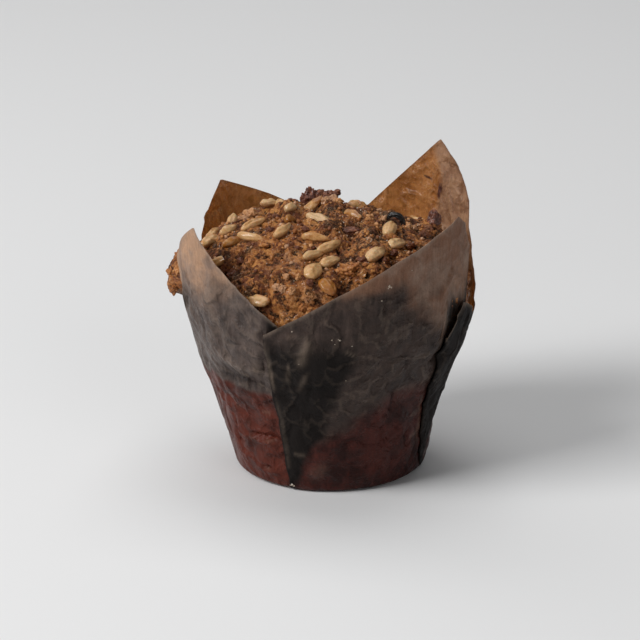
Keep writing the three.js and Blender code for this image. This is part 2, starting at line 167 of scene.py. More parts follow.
def panel_columns(panel, following, lap):
    """A panel's columns and its flap's, each as its azimuth, top, layer and pleat by height."""
    out = []
    start = lambda z: fold_at(panel, z)
    end = lambda z: fold_at(following, z, lap)
    per_mm = lambda z: 1 / (math.radians(1) * wall_radius(end(z), z))
    width = lambda z: FLAP_AT_FLOOR + following["flap"] * z
    lift = lambda z: following["lift"] * ramp(z / RIM_HEIGHT)

    def column(azimuth, top, offset, pleat=lambda z: 1):
        out.append({"azimuth": azimuth, "top": top, "offset": offset, "pleat": pleat})

    def shown(f):
        """A column that shows: it lies on the panel's own flap at first, then on the cup."""
        at = lambda z: start(z) + f * (end(z) - start(z))
        along = lambda z: f * math.radians(end(z) - start(z)) * wall_radius(start(z), z)

        def offset(z):
            over = along(z) - (FLAP_AT_FLOOR + panel["flap"] * z)
            lift = panel["lift"] * ramp(z / RIM_HEIGHT) * (1 - ramp(along(z) / (3 * EASE)))
            return 2 * (1 - ramp((over - 1) / EASE)), lift

        column(at, top_of(at, panel["edge"]), offset, lambda z: flap_darkness_and_shade(z, along(z), panel))

    def round_fold(azimuth, top, side, step, rise, lift):
        """Columns that carry the sheet round a fold, half a pitch wide."""
        for turn in FOLD_TURNS:
            bulge = side * PITCH / 2 * math.sin(math.radians(turn))
            share = (1 - math.cos(math.radians(turn))) / 2
            at = lambda z, b=bulge: azimuth(z) + b * per_mm(z)
            column(at, top, lambda z, r=share: (step + rise * r, lift(z)))

    count = round((end(RIM_HEIGHT) - start(RIM_HEIGHT)) / PANEL_STEP)
    for n in range(count + 1):
        shown(n / count)

    # The flap under the next panel: inwards, round the inner fold, and back to the outer one.
    flap_at = lambda f: lambda z: end(z) + f * width(z) * per_mm(z)
    for f in FLAP_SHARES:
        column(flap_at(f), top_of(flap_at(f), panel["edge"]), lambda z: (-FLAP_SINK, 0))
    inner_top, outer_top = out[-1]["top"], following["edge"][0][1]
    round_fold(flap_at(1), inner_top, 1, -FLAP_SINK, 1, lambda z: 0)
    back = [(end(outer_top), outer_top), (flap_at(1)(inner_top), inner_top)]
    for f in [*reversed(FLAP_SHARES), 0]:
        top = top_of(flap_at(f), back) if f else outer_top
        column(flap_at(f), top, lambda z, f=f: (1 - FLAP_SINK, lift(z) * (1 - ramp(f))))
    round_fold(end, outer_top, -1, 1 - FLAP_SINK, 1 + FLAP_SINK, lift)
    return out


# Where the batter pressed it against the tin the paper took up small creases; above the dough the petals
# only bend.
# Fat soaked it up to a tide line. Pale marks along its folds and creases are partly wear and partly
# painted highlight; dark marks are partly smoke and partly painted shade.
# Each crease or mark: azimuth and height of its ends, half its width, and its depth or strength.
CREASES = [
    (-57, 37.6, -29, 37.4, 3.2, -0.95), (-52, 43.4, -30, 41.5, 1.5, 0.4),
    (-58, 32.3, -28, 32.6, 2.2, 0.35), (-28.4, 47, -29.8, 40.6, 0.7, -0.75),
    (-49, 17.4, -28, 17.8, 0.7, -0.95), (-48, 15.7, -30, 15.9, 0.8, 0.75),
    (-42, 6.4, -34, 6.6, 0.7, -0.7), (-43, 5.0, -33, 5.2, 0.7, 0.5), (-57, 28, -44, 22, 1.0, -0.6),
    (-46, 26, -36, 30, 1.0, 0.4), (-52.3, 55, -50.5, 46, 1.0, -0.6), (-30.5, 41, -27.8, 50, 0.9, -0.4),
    (-49, 68, -55, 60, 2.2, 0.5), (-12.6, 46.5, -8.5, 55, 1.3, 0.5), (-15, 45, -20, 34, 1.4, -0.35),
    (5.4, 51.9, 9.7, 50, 0.7, 0.4), (29.2, 37, 31.5, 26.5, 0.9, -0.65), (22, 33, 26, 22, 1.2, 0.35),
    (42.8, 18.4, 45.9, 12, 0.9, -0.6), (36, 27, 43, 14, 1.3, 0.35), (32.4, 46.5, 33.1, 42.5, 0.8, -0.5),
    (46, 73, 45.3, 50, 2.4, 0.5), (67, 77, 47, 66, 1.1, 0.7), (15.6, 58, 24.7, 67, 2.4, -0.35),
    (47, 43.5, 55, 43.8, 2.0, -0.9), (59, 78.4, 68, 78.0, 1.0, -0.9), (66, 74, 67.5, 66, 2.6, 0.5),
    (-9.8, 4.8, -2, 11.5, 2.4, 0.45), (3, 9, 16, 7.6, 1.4, -0.35), (-6, 21, 12, 17, 2.0, -0.3),
]
HIDDEN_CREASES, HIDDEN_MARKS = 34, 14
seeded = random.Random(7)
for _ in range(HIDDEN_CREASES):
    azimuth, z = seeded.uniform(70, 240), seeded.uniform(8, 48)
    turn, reach = seeded.choice([seeded.uniform(-25, 25), seeded.uniform(60, 120)]), seeded.uniform(4, 13)
    ends = math.cos(math.radians(turn)) * reach / 0.7, math.sin(math.radians(turn)) * reach
    width, rise = seeded.uniform(0.7, 2), seeded.uniform(-0.7, 0.35)
    CREASES.append((azimuth, z, azimuth + ends[0], z + ends[1], width, rise))
# Pale marks: scuffs, and painted highlight along the front folds, on the ledges of creases and on the
# right of the front panel, where the paper catches the light.
WORN_AND_LIT_MARKS = [
    (-25.8, 52.5, -24.6, 36, 0.6, 0.9), (-24.4, 34, -23, 8, 0.45, 0.5),
    (-8.5, 55, -11.8, 46.5, 1.4, 0.9), (-16.5, 47, -17.6, 40, 0.5, 0.6),
    (-9, 44.5, -13.4, 37.5, 0.7, 0.45), (-17, 56.2, -8, 55.6, 0.5, 0.4), (-49, 69, -56, 60, 2.0, 0.55),
    (-56, 60, -49, 54, 1.2, 0.5), (-31, 45, -33.5, 39.8, 1.3, 0.6), (-51, 42.8, -31, 40.8, 1.0, 0.45),
    (-48, 16.2, -42, 15.5, 0.35, 0.55), (-37, 16.3, -31, 16.6, 0.35, 0.6),
    (-56, 31, -52, 25, 0.6, 0.45), (-41, 5.8, -36, 5.9, 0.35, 0.4), (-9.5, 5.4, -3, 10.8, 2.0, 0.35),
    (66, 75, 61.5, 60, 1.8, 0.7), (60.5, 73, 55.5, 58, 1.5, 0.6), (55, 71, 51, 52, 0.9, 0.6),
    (49, 69, 49.5, 48, 0.7, 0.5), (45.6, 64, 45.3, 54, 0.6, 0.35), (50, 30, 57.2, 12.5, 0.6, 0.7),
    (5.4, 51.9, 9.7, 50, 0.4, 0.8), (19.5, 61.5, 22, 61.4, 0.4, 0.4), (14, 46, 22, 44, 0.5, 0.35),
]
# Dark marks: smoke stains, and painted shade in the front creases, under the band's overhang, under the
# notch at the right corner and where the right of the front panel turns from the light.
SMOKE_AND_SHADE_MARKS = [
    (-58, 37.8, -27.5, 36.9, 2.9, 1.0), (-48, 66, -46, 51, 2.6, 0.6), (-36.6, 56, -45, 50.6, 2.4, 0.65),
    (-36, 63, -40, 54, 2.6, 0.5), (-52, 78, -50, 66, 1.2, 0.5), (-74, 71, -63.7, 59.5, 1.2, 0.6),
    (-63.7, 59.5, -60, 46, 1.2, 0.6), (-30.5, 41, -27.6, 50.4, 0.8, 0.8),
    (-27.6, 50.4, -28.6, 57, 0.8, 0.8), (-45, 47, -34, 47.5, 1.6, 0.4),
    (29.2, 36.5, 31.5, 26.8, 0.6, 0.9), (42.8, 18.1, 45.9, 12.4, 0.5, 1.0),
    (32.4, 46.2, 33.1, 42.8, 0.6, 0.8), (17, 63, 27, 69, 1.8, 0.4), (38, 70, 44, 74, 2.2, 0.3),
    (52, 12, 60, 6, 1.0, 0.8), (49, 60, 62, 53, 4.5, 0.9), (44, 52, 52, 46, 4, 0.7),
    (60, 78.2, 66, 78.0, 0.6, 0.8),
]
INSIDE_STAINS = [
    (130.3, 81, 131.5, 75.6, 0.9, 1.0), (140, 82.4, 134.3, 80.8, 0.6, 0.9),
    (133, 73, 132.5, 69, 0.5, 0.6), (151, 76, 139, 74, 2.2, 0.35), (143, 81, 138, 68, 1.8, 0.3),
]
for _ in range(HIDDEN_MARKS):
    azimuth, z = seeded.uniform(100, 235), seeded.uniform(10, 60)
    WORN_AND_LIT_MARKS.append((azimuth, z, azimuth + seeded.uniform(-8, 8), z + seeded.uniform(4, 12), 0.7, 0.5))
    azimuth, z = seeded.uniform(100, 235), seeded.uniform(30, 70)
    SMOKE_AND_SHADE_MARKS.append((azimuth, z, azimuth + seeded.uniform(-14, 14), z + seeded.uniform(-8, 8), 2, 0.5))
CREASE_GRAIN = Vector((9, 9, 13))
CREASE_DEPTH = 1.4
SLOW_WAVE, CRINKLE = 24, 4.2  # how far apart the paper's waves and crinkles are
OVER_DOUGH = 58  # the petals hang free above this


def stroke(line, azimuth, z, radius):
    """How near a place on the wall is to a crease or a mark: 1 on it, 0 away from it."""
    a, za, b, zb, width = line[:5]
    if not (min(za, zb) - 3 * width < z < max(za, zb) + 3 * width):
        return 0
    per = math.radians(1) * radius
    ax, bx = [((v - azimuth + 180) % 360 - 180) * per for v in (a, b)]
    ux, uz = bx - ax, zb - za
    t = min(max((-ax * ux + (z - za) * uz) / (ux * ux + uz * uz), 0), 1)
    gap = math.hypot(ax + t * ux, za + t * uz - z)
    return math.exp(-((gap / width) ** 2)) * ramp(min(t, 1 - t) * 3 + 0.35)


def strongest(marks, azimuth, z, radius):
    """How strong the strongest of some marks is at a place on the wall."""
    return min(max(line[5] * stroke(line, azimuth, z, radius) for line in marks), 1)


def wrinkle(azimuth, z):
    """How far the wall stands out of its plain shape."""
    radius = wall_radius(azimuth, z)
    p = around(azimuth, radius, z)
    free = ramp((z - OVER_DOUGH) / 20)
    out = noise.noise(p / SLOW_WAVE + Vector((3, 1, 8))) * (0.5 + 0.8 * free)
    dimple = Vector((p.x / CREASE_GRAIN.x, p.y / CREASE_GRAIN.y, p.z / CREASE_GRAIN.z))
    out += noise.noise(dimple) * (0.75 - 0.5 * free)
    ridge = 1 - abs(noise.noise(dimple * 1.4 + Vector((11, 5, 2)))) * 2
    out -= max(ridge - 0.55, 0) * (1.35 - 0.8 * free)
    crinkle = 1 - abs(noise.noise(p / CRINKLE + Vector((1, 7, 3)))) * 2
    out += noise.noise(p / 3.4) * 0.05 - max(crinkle - 0.6, 0) * 0.2 * (1 - 0.6 * free)
    out += CREASE_DEPTH * sum(line[5] * stroke(line, azimuth, z, radius) for line in CREASES)
    return out * ramp((z - 1.5) / 6)


# The flat sheet, laid out as a grid, is taken to its folded place point by point. A quarter of a
# turn round the foot joins the wall to the floor, and the grid's two ends meet inside a pleat.
BASE_ROWS = 5
FOOT_ROWS = 6
WALL_ROWS = 92
RIM_REACH = 0.8  # how far down from the cut edge the rim's marks reach
SHARP_FOLD = 60
SEAM = -116  # azimuth at which the lines below start and end
# How high the fat has soaked, and how high the brown crumb shows red through the paper.
TIDE = [
    (-116, 52), (-95, 49), (-78, 54), (-62, 60), (-45, 66), (-30, 68), (-22, 76), (-4, 70), (12, 66),
    (24, 65), (34, 59), (44, 55), (50, 50), (51, 62), (66, 61), (95, 54), (150, 57), (200, 60),
    (244, 52),
]
RED_BELOW = [
    (-116, 31), (-57, 34.4), (-27, 33.4), (-24, 24), (-6, 21), (8, 24), (22, 31), (40, 34), (60, 33),
    (100, 30), (160, 33), (244, 31),
]


def paper_marks(azimuth, z):
    """What the paper took up at a place on the wall, with its painted highlights and shade, each from 0
    to 1.
    """
    turned = (azimuth - SEAM) % 360 + SEAM
    radius = wall_radius(azimuth, z)
    p = around(azimuth, 42, z)
    broad, fine = noise.noise(p / 15 + Vector((4, 4, 4))), noise.noise(p / 5)
    over = z - height_on(TIDE, turned) - 7 * broad - 4 * fine
    right = ramp((turned + 30) / 12) * (1 - ramp((turned - 62) / 60))
    red = z - height_on(RED_BELOW, turned) - 2.5 * fine - 3 * broad * right
    greased = ramp((turned - 127) / 10) * (1 - 0.6 * ramp((z - 84) / 10)) if 100 < turned < 160 else 0.9
    return {
        "soak": 1 - ramp((over - 3) / (26 - 10 * right) + 0.5),
        "red": 1 - ramp(red / (4 + 13 * right) + 0.5),
        "brown": 0.15 + 0.85 * ramp((turned + 30) / 10) - 0.35 * ramp((turned - 80) / 60) + 0.3 * broad,
        "worn_and_lit": strongest(WORN_AND_LIT_MARKS, azimuth, z, radius),
        "smoke_and_shade": strongest(SMOKE_AND_SHADE_MARKS, azimuth, z, radius),
        "greased": greased + 0.35 * broad,
        "stain": strongest(INSIDE_STAINS, azimuth, z, radius),
    }


bm = bmesh.new()
cols = []
for panel, following, lap in zip(PANELS, [*PANELS[1:], PANELS[0]], (0, 0, 0, 360)):
    cols += panel_columns(panel, following, lap)
rows = BASE_ROWS + FOOT_ROWS + WALL_ROWS
bmesh.ops.create_grid(bm, x_segments=len(cols), y_segments=rows, size=0.5)
MARKS = ("soak", "red", "brown", "worn_and_lit", "smoke_and_shade", "greased", "stain")
layers = {name: bm.verts.layers.float.new(name) for name in ("pleat", "rim", *MARKS)}
for v in bm.verts:
    column = cols[round((v.co.x + 0.5) * len(cols)) % len(cols)]
    row = round((v.co.y + 0.5) * rows)
    if row <= BASE_ROWS:
        z, share = 0, row / BASE_ROWS
    elif row <= BASE_ROWS + FOOT_ROWS:
        turn = math.radians(90) * (row - BASE_ROWS) / FOOT_ROWS
        z, share = FOOT_ROUNDING * (1 - math.cos(turn)), 1
    else:
        up = (row - BASE_ROWS - FOOT_ROWS) / WALL_ROWS
        z, share = FOOT_ROUNDING + up * (column["top"] - FOOT_ROUNDING), 1
    azimuth = column["azimuth"](z)
    step, lift = column["offset"](z)
    pitch = PITCH_UNDER_BASE + (PITCH - PITCH_UNDER_BASE) * ramp(z / 9)
    offset = step * pitch + lift
    radius = wall_radius(azimuth, z) + wrinkle(azimuth, z) + offset * ramp(z / FOOT_ROUNDING)
    under = (2 * PITCH_UNDER_BASE - step * PITCH_UNDER_BASE) * (1 - ramp(z / FOOT_ROUNDING))
    v.co = around(azimuth, radius * share, z + under + PAPER / 2) * MM
    v[layers["pleat"]] = column["pleat"](z)
    v[layers["rim"]] = math.exp(-((column["top"] - z) / RIM_REACH) ** 2)
    for name, value in paper_marks(azimuth, z).items():
        v[layers[name]] = value
bmesh.ops.remove_doubles(bm, verts=bm.verts, dist=1e-7)
for face in bm.faces:
    face.smooth = True
sheet = bpy.data.meshes.new("paper_case_sheet")
bm.to_mesh(sheet)
bm.free()
folded = bpy.data.objects.new("paper_case_folded", sheet)
bpy.context.scene.collection.objects.link(folded)
wall = folded.modifiers.new("thickness", "SOLIDIFY")
wall.thickness = PAPER * MM
wall.offset = 0
wall.material_offset = 1


class Socket:
    """An output of a material's node. Sums and products of it add Math nodes beside it."""

    def __init__(self, tree, socket=None):
        self.tree, self.socket = tree, socket

    def node(self, kind, settings=(), sockets=(), output=0):
        """Adds a node, sets it, then gives its sockets their values or links."""
        made = self.tree.nodes.new("ShaderNode" + kind)
        for name, value in dict(settings).items():
            setattr(made, name, value)
        for name, value in dict(sockets).items():
            if isinstance(value, Socket):
                self.tree.links.new(value.socket, made.inputs[name])
            else:
                made.inputs[name].default_value = value
        return Socket(self.tree, made.outputs[output])

    def math(self, operation, *values):
        return self.node("Math", {"operation": operation}, dict(enumerate(values)))

    def __add__(self, other):
        return self.math("ADD", self, other)

    def __sub__(self, other):
        return self.math("SUBTRACT", self, other)

    def __mul__(self, other):
        return self.math("MULTIPLY", self, other)

    def __radd__(self, other):
        return self.math("ADD", other, self)

    def __rsub__(self, other):
        return self.math("SUBTRACT", other, self)

    def __rmul__(self, other):
        return self.math("MULTIPLY", other, self)

    def between(self, low, high):
        """0 below low, 1 above high, and smooth between."""
        span = {"Value": self, "From Min": low, "From Max": high}
        return self.node("MapRange", {"interpolation_type": "SMOOTHSTEP"}, span)

    def mix(self, low, high, how="MIX"):
        """The colour low where this is 0 and high, mixed in the way named, where it is 1."""
        colours = {0: self}
        for index, colour in ((6, low), (7, high)):
            colours[index] = colour if isinstance(colour, Socket) else (*colour, 1)
        return self.node("Mix", {"data_type": "RGBA", "blend_type": how}, colours, 2)

    def attribute(self, name):
        return self.node("Attribute", {"attribute_name": name}, output=2)

    def noise(self, place, size, detail=3, roughness=0.55):
        """Noise with features of a size in millimetres."""
        values = {"Vector": place, "Scale": 1 / (size * MM), "Detail": detail, "Roughness": roughness}
        return self.node("TexNoise", sockets=values)

    def crinkles(self, place, size):
        """Sharp-backed creases, 0 between them and 1 along them."""
        values = {"Vector": place, "Scale": 1 / (size * MM), "Detail": 4, "Roughness": 0.45}
        values.update({"Offset": 1, "Gain": 1.5})
        return self.node("TexNoise", {"noise_type": "RIDGED_MULTIFRACTAL"}, values).between(0.5, 1.7)

    def cells(self, place, size, output=0):
        return self.node("TexVoronoi", sockets={"Vector": place, "Scale": 1 / (size * MM)}, output=output)

    def stretched(self, place, scale):
        return self.node("VectorMath", {"operation": "MULTIPLY"}, {0: place, 1: scale})


def material(name, **constants):
    """A new material: returns it, a socket to build on and the object's own coordinates."""
    made = bpy.data.materials.new(name)
    made.use_nodes = True
    shader = made.node_tree.nodes["Principled BSDF"]
    for socket, value in constants.items():
        shader.inputs[socket.replace("_", " ").title().replace("Ior", "IOR")].default_value = value
    start = Socket(made.node_tree)
    return made, start, start.node("TexCoord", output=3)


def finish(made, colour, roughness, height=None, depth=0.1, coat=None):
    """Feeds a material's shader: its colour, roughness and a height in units of depth, in millimetres."""
    shader = made.node_tree.nodes["Principled BSDF"]
    links = made.node_tree.links
    links.new(colour.socket, shader.inputs["Base Color"])
    links.new(roughness.socket, shader.inputs["Roughness"])
    if coat:
        links.new(coat.socket, shader.inputs["Coat Weight"])
    if height:
        bump = height.node("Bump", sockets={"Strength": 1, "Distance": depth * MM, "Height": height})
        links.new(bump.socket, shader.inputs["Normal"])


# Brown baking paper: dry and tan at its petals, dark and greasy where fat soaked it, nearly black where
# three layers lie together and, on the back right flap, with painted shade, and deep red where the crumb
# inside shows through.
DRY_PAPER = (0.46, 0.275, 0.17)
GREY_PAPER = (0.31, 0.212, 0.16)
BROWN_PAPER = (0.215, 0.108, 0.066)
SOAKED_PAPER = (0.118, 0.087, 0.074)
DARK_PAPER = (0.058, 0.039, 0.032)
TRIPLE_LAYER_AND_SHADE_PAPER = (0.011, 0.008, 0.007)
RED_PAPER = (0.112, 0.026, 0.016)
DEEP_RED_PAPER = (0.068, 0.0165, 0.012)
PALE_PAPER = (0.36, 0.27, 0.205)
GREASED_INSIDE = (0.37, 0.155, 0.05)
DRY_INSIDE = (0.31, 0.175, 0.105)


def paper_outside():
    made, at, place = material("paper_outside", specular_ior_level=0.12)
    names = ("soak", "pleat", "red", "brown", "worn_and_lit", "smoke_and_shade", "rim")
    soaked, pleat, red, brown, worn_and_lit, smoke_and_shade, rim = [at.attribute(n) for n in names]
    cloud = at.noise(place, 10, 4)
    smudge = at.noise(place, 3.4, 5, 0.62)
    fibre = at.noise(place, 0.5, 2)
    streak = at.noise(at.stretched(place, (1, 1, 0.14)), 0.8, 3)
    crinkle = at.crinkles(place, 7)
    tan = (brown + (cloud - 0.5) * 0.6).between(0.15, 0.95)
    aged = (cloud * 0.7 + smudge * 0.3).between(0.4, 0.62)
    dry = tan.mix(aged.mix(DRY_PAPER, GREY_PAPER), (aged * 0.8).mix(BROWN_PAPER, GREY_PAPER))
    wet = tan.mix(SOAKED_PAPER, DARK_PAPER)
    wet = (smudge.between(0.35, 0.68) * 0.6).mix(wet, (0.5, 0.54, 0.58), "MULTIPLY")
    grease = (soaked + (cloud - 0.5) * 0.18 + (smudge - 0.5) * 0.2).between(-0.05, 1.0)
    colour = grease.mix(dry, wet)
    glow = (red + (smudge - 0.5) * 0.4).between(0.2, 0.9)
    crumb = tan.mix(RED_PAPER, DEEP_RED_PAPER)
    crumb = (cloud * 0.6 + smudge * 0.4).between(0.42, 0.62).mix(crumb, (0.42, 0.5, 0.55), "MULTIPLY")
    colour = glow.mix(colour, crumb)
    # Three layers of soaked paper are nearly black; on the back right flap this black is also painted
    # shade.
    dark = (pleat * soaked * 1.15 + (smudge - 0.5) * 0.35).between(0.2, 0.9)
    colour = dark.mix(colour, TRIPLE_LAYER_AND_SHADE_PAPER)
    # Smoke stains and painted shade darken the paper here.
    colour = (smoke_and_shade * (0.5 + 0.8 * smudge)).mix(colour, (0.26, 0.23, 0.24), "MULTIPLY")
    # Pale scuffs of the marks, and painted highlight on crinkle ridges where they catch the light.
    wear_and_highlight = worn_and_lit * (fibre * 0.6 + smudge * 0.9)
    wear_and_highlight += crinkle.between(0.6, 1) * (1 - glow) * (0.22 - 0.1 * dark)
    colour = (wear_and_highlight * 0.42).mix(colour, PALE_PAPER)
    # Painted highlight: paler along the cut edge, where it catches the light.
    colour = (rim * 0.35).mix(colour, PALE_PAPER)
    mottle = (fibre * 0.35 + streak * 0.65).between(0.35, 0.65)
    colour = (mottle * 0.42).mix(colour, (0.5, 0.48, 0.47), "MULTIPLY")
    roughness = 0.6 - grease * 0.22 + (smudge - 0.5) * 0.25
    relief = fibre * 0.08 + smudge * 0.4 + streak * 0.1 + crinkle * (0.35 + 0.4 * grease)
    finish(made, colour, roughness + 0.3 * dark, relief, 0.9)
    return made


def paper_inside():
    constants = {"subsurface_weight": 0.35, "subsurface_scale": 0.001, "specular_ior_level": 0.3}
    constants["subsurface_radius"] = (1, 0.7, 0.5)
    made, at, place = material("paper_inside", **constants)
    greased, stain, rim = [at.attribute(n) for n in ("greased", "stain", "rim")]
    cloud = at.noise(place, 9, 4)
    smudge = at.noise(place, 2.4, 5, 0.62)
    fibre = at.noise(at.stretched(place, (1, 1, 0.3)), 0.7, 3)
    crinkle = at.crinkles(place, 6)
    wet = (greased + (cloud - 0.5) * 0.9).between(0.1, 0.75)
    colour = wet.mix(DRY_INSIDE, GREASED_INSIDE)
    brown = (cloud * 0.5 + smudge * 0.5).between(0.44, 0.6) * 0.85
    colour = brown.mix(colour, (0.5, 0.4, 0.32), "MULTIPLY")
    colour = (fibre.between(0.4, 0.75) * 0.4).mix(colour, (0.6, 0.56, 0.5), "MULTIPLY")
    colour = (crinkle.between(0.6, 0.95) * 0.1).mix(colour, (0.6, 0.36, 0.18))
    colour = (stain * (0.5 + smudge)).between(0.3, 0.75).mix(colour, (0.045, 0.016, 0.012))
    colour = (rim * 0.5).mix(colour, (0.35, 0.3, 0.28), "MULTIPLY")
    roughness = 0.52 - wet * 0.22 + (smudge - 0.5) * 0.3
    finish(made, colour, roughness, smudge * 0.7 + fibre * 0.2 + crinkle * 0.7, 0.6)
    return made


def show(name, mesh, slot, *nodes):
    """Makes a mesh a piece of the muffin, standing for the CAD nodes that it hides."""
    piece = bpy.data.objects.new(name, mesh)
    bpy.context.scene.collection.objects.link(piece)
    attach(piece, "root")
    if nodes:
        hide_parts(*nodes)
    return piece


for made in (paper_outside(), paper_inside()):
    sheet.materials.append(made)
thickened = folded.evaluated_get(bpy.context.evaluated_depsgraph_get())
shell = bpy.data.meshes.new_from_object(thickened)
shell.name = "paper_case"
bpy.data.objects.remove(folded)
shell.set_sharp_from_angle(angle=math.radians(SHARP_FOLD))
show("tulip_case", shell, "baking_paper", "paper_case")
case_tree = BVHTree.FromPolygons([v.co for v in shell.vertices], [p.vertices for p in shell.polygons])

# ---- The muffin's crust ----
# Coarse wholemeal dough, baked so hot and fast that its top broke into crags and its side burst
# out between two petals. Sugar melted on it, so its knobs shine; its creases are darkened with painted
# shade, and its high knobs lightened with painted light.
FLOOR = 1.35
DOME_START = 50
DOME_HEIGHT = 29
DOME_FLATNESS = 2.9
BODY_CLEARANCE = 0.55
UNDER_PAPER = 2.6  # where creases in the paper press into it
RELIEF_CENTRE = Vector((0, 0, 50))
# Lumps and hollows of the crust: azimuth, radius, height, rise, width.
LUMPS = [
    (-95, 33, 70, 4.2, 12), (-60, 24, 76, 1.5, 9), (68, 35, 68, 3.6, 9), (150, 30, 70, -1.6, 11),
    (205, 33, 70, 2.4, 11), (172, 22, 77, -2.0, 9), (-8, 36, 68, 1.6, 9), (35, 30, 72, 1.2, 8),
]
# Where the crust is dark, or with a minus still fresh: x, y, z, strength, width.
BURNT = [
    (-31, -15, 62, 0.35, 11), (-38, -6, 66, 0.5, 9), (5, -11, 77, 0.35, 7), (24, 0, 75, 0.4, 9),
    (-24, 12, 76, 0.4, 8), (12, 14, 78, 0.25, 10), (-45, -4, 58, -1, 9), (-8, -36, 60, -0.5, 9),
    (-12, -14, 76, -0.5, 10),
]
BURST = {"azimuth": -98, "height": 59.3, "reach": 8.6, "width": 8, "rise": 8.4}
CRAGS = [(12, 3.8, 1.15), (6, 2.8, 0.85)]  # size, knob, crease
CLUMP_SIZE, KNOB_SIZE, GRAIN_SIZE = 4.6, 2.1, 1.1
PIT_SIZE, HOLE_SIZE = 1.7, 0.95


def lattice_noise(x, y, z):
    """Smooth seeded noise between -1 and 1, with one value at each corner of a unit lattice."""

    def corner(i, j, k):
        s = math.sin(i * 127.1 + j * 311.7 + k * 74.7) * 43758.5453
        return 2 * (s - math.floor(s)) - 1

    i, j, k = math.floor(x), math.floor(y), math.floor(z)
    u, v, w = ramp(x - i), ramp(y - j), ramp(z - k)
    mix = lambda a, b, t: a + (b - a) * t
    edge = lambda dj, dk: mix(corner(i, j + dj, k + dk), corner(i + 1, j + dj, k + dk), u)
    return mix(mix(edge(0, 0), edge(1, 0), v), mix(edge(0, 1), edge(1, 1), v), w)


def paper_top(azimuth):
    """The highest layer of paper at an azimuth."""
    laps = [azimuth + lap for lap in (-360, 0, 360)]
    edges = [p["edge"] for p in PANELS]
    return max(height_on(edge, a) for edge in edges for a in laps if edge[0][0] <= a <= edge[-1][0])


def body_radius(azimuth, z):
    """The muffin's radius without its relief: inside the case, then a flattened dome."""
    if z > DOME_START:
        rise = min((z - DOME_START) / DOME_HEIGHT, 1)
        return (wall_radius(0, DOME_START) - BODY_CLEARANCE) * (1 - rise**2) ** (1 / DOME_FLATNESS)
    in_case = UNDER_PAPER + (BODY_CLEARANCE - UNDER_PAPER) * ramp((z - 48.5) / 1.5)
    return wall_radius(azimuth, max(z - 0.4, 0)) - in_case


def crust(point):
    """A point of the dome moved out along the line from the relief's centre."""
    away = (point - RELIEF_CENTRE).normalized()
    rising = ramp((point.z - DOME_START + 2) / 8)
    out = sum(
        rise * math.exp(-((point - around(azimuth, radius, height)).length / width) ** 2)
        for azimuth, radius, height, rise, width in LUMPS
    )
    for size, knob, crease in CRAGS:
        out += knob * abs(lattice_noise(point.x / size + 20, point.y / size, point.z / size)) - crease
    p = point + away * out * rising
    reach = math.hypot(p.x, p.y)
    if reach < 1e-6:
        return p
    azimuth = math.degrees(math.atan2(p.x, -p.y))
    sideways = math.radians(abs((azimuth - BURST["azimuth"] + 540) % 360 - 180)) * reach
    above = (p.z - BURST["height"]) / BURST["rise"]
    burst = BURST["reach"] * ramp((p.z - DOME_START + 2) / 4)
    burst *= math.exp(-((sideways / BURST["width"]) ** 2) - above**6)
    held = wall_radius(azimuth, p.z) - BODY_CLEARANCE
    if reach + burst > held - 3:
        held += min(wrinkle(azimuth, p.z), 0)
    edge = max(paper_top(azimuth + turn) for turn in (-3, 0, 3))
    free = ramp((p.z - edge - 0.6) / 1.5)
    radius = min(reach + burst, held + free * 2 * BURST["reach"])
    p.x *= radius / reach
    p.y *= radius / reach
    return p


noise.seed_set(4)  # else noise_vector takes its offsets from the clock


def crumb(p):
    """Fine relief of the crust: how far it stands out, and 0 to 1 from its creases to its knobs."""
    heap = lambda place, steep=1.3: 1 - min(noise.voronoi(place)[0][0] * steep, 1)
    warp = p + noise.noise_vector(p / 3.4) * 1.5
    clump = heap(warp / CLUMP_SIZE, 1.25)
    knob = heap(warp / KNOB_SIZE + Vector((7, 3, 1)))
    grain = heap(p / GRAIN_SIZE + noise.noise_vector(p) * 0.3)
    pit = max(noise.noise(p / PIT_SIZE + Vector((5, 9, 2))) - 0.36, 0)
    hole = max(noise.noise(p / HOLE_SIZE + Vector((2, 3, 9))) - 0.3, 0)
    rough = noise.noise(p / 1.3)
    out = 0.9 * clump + 0.5 * knob + 0.36 * grain + 0.25 * rough - 3.4 * pit - 1.5 * hole - 0.75
    return out, min(max((out + 0.8) / 1.8, 0), 1)


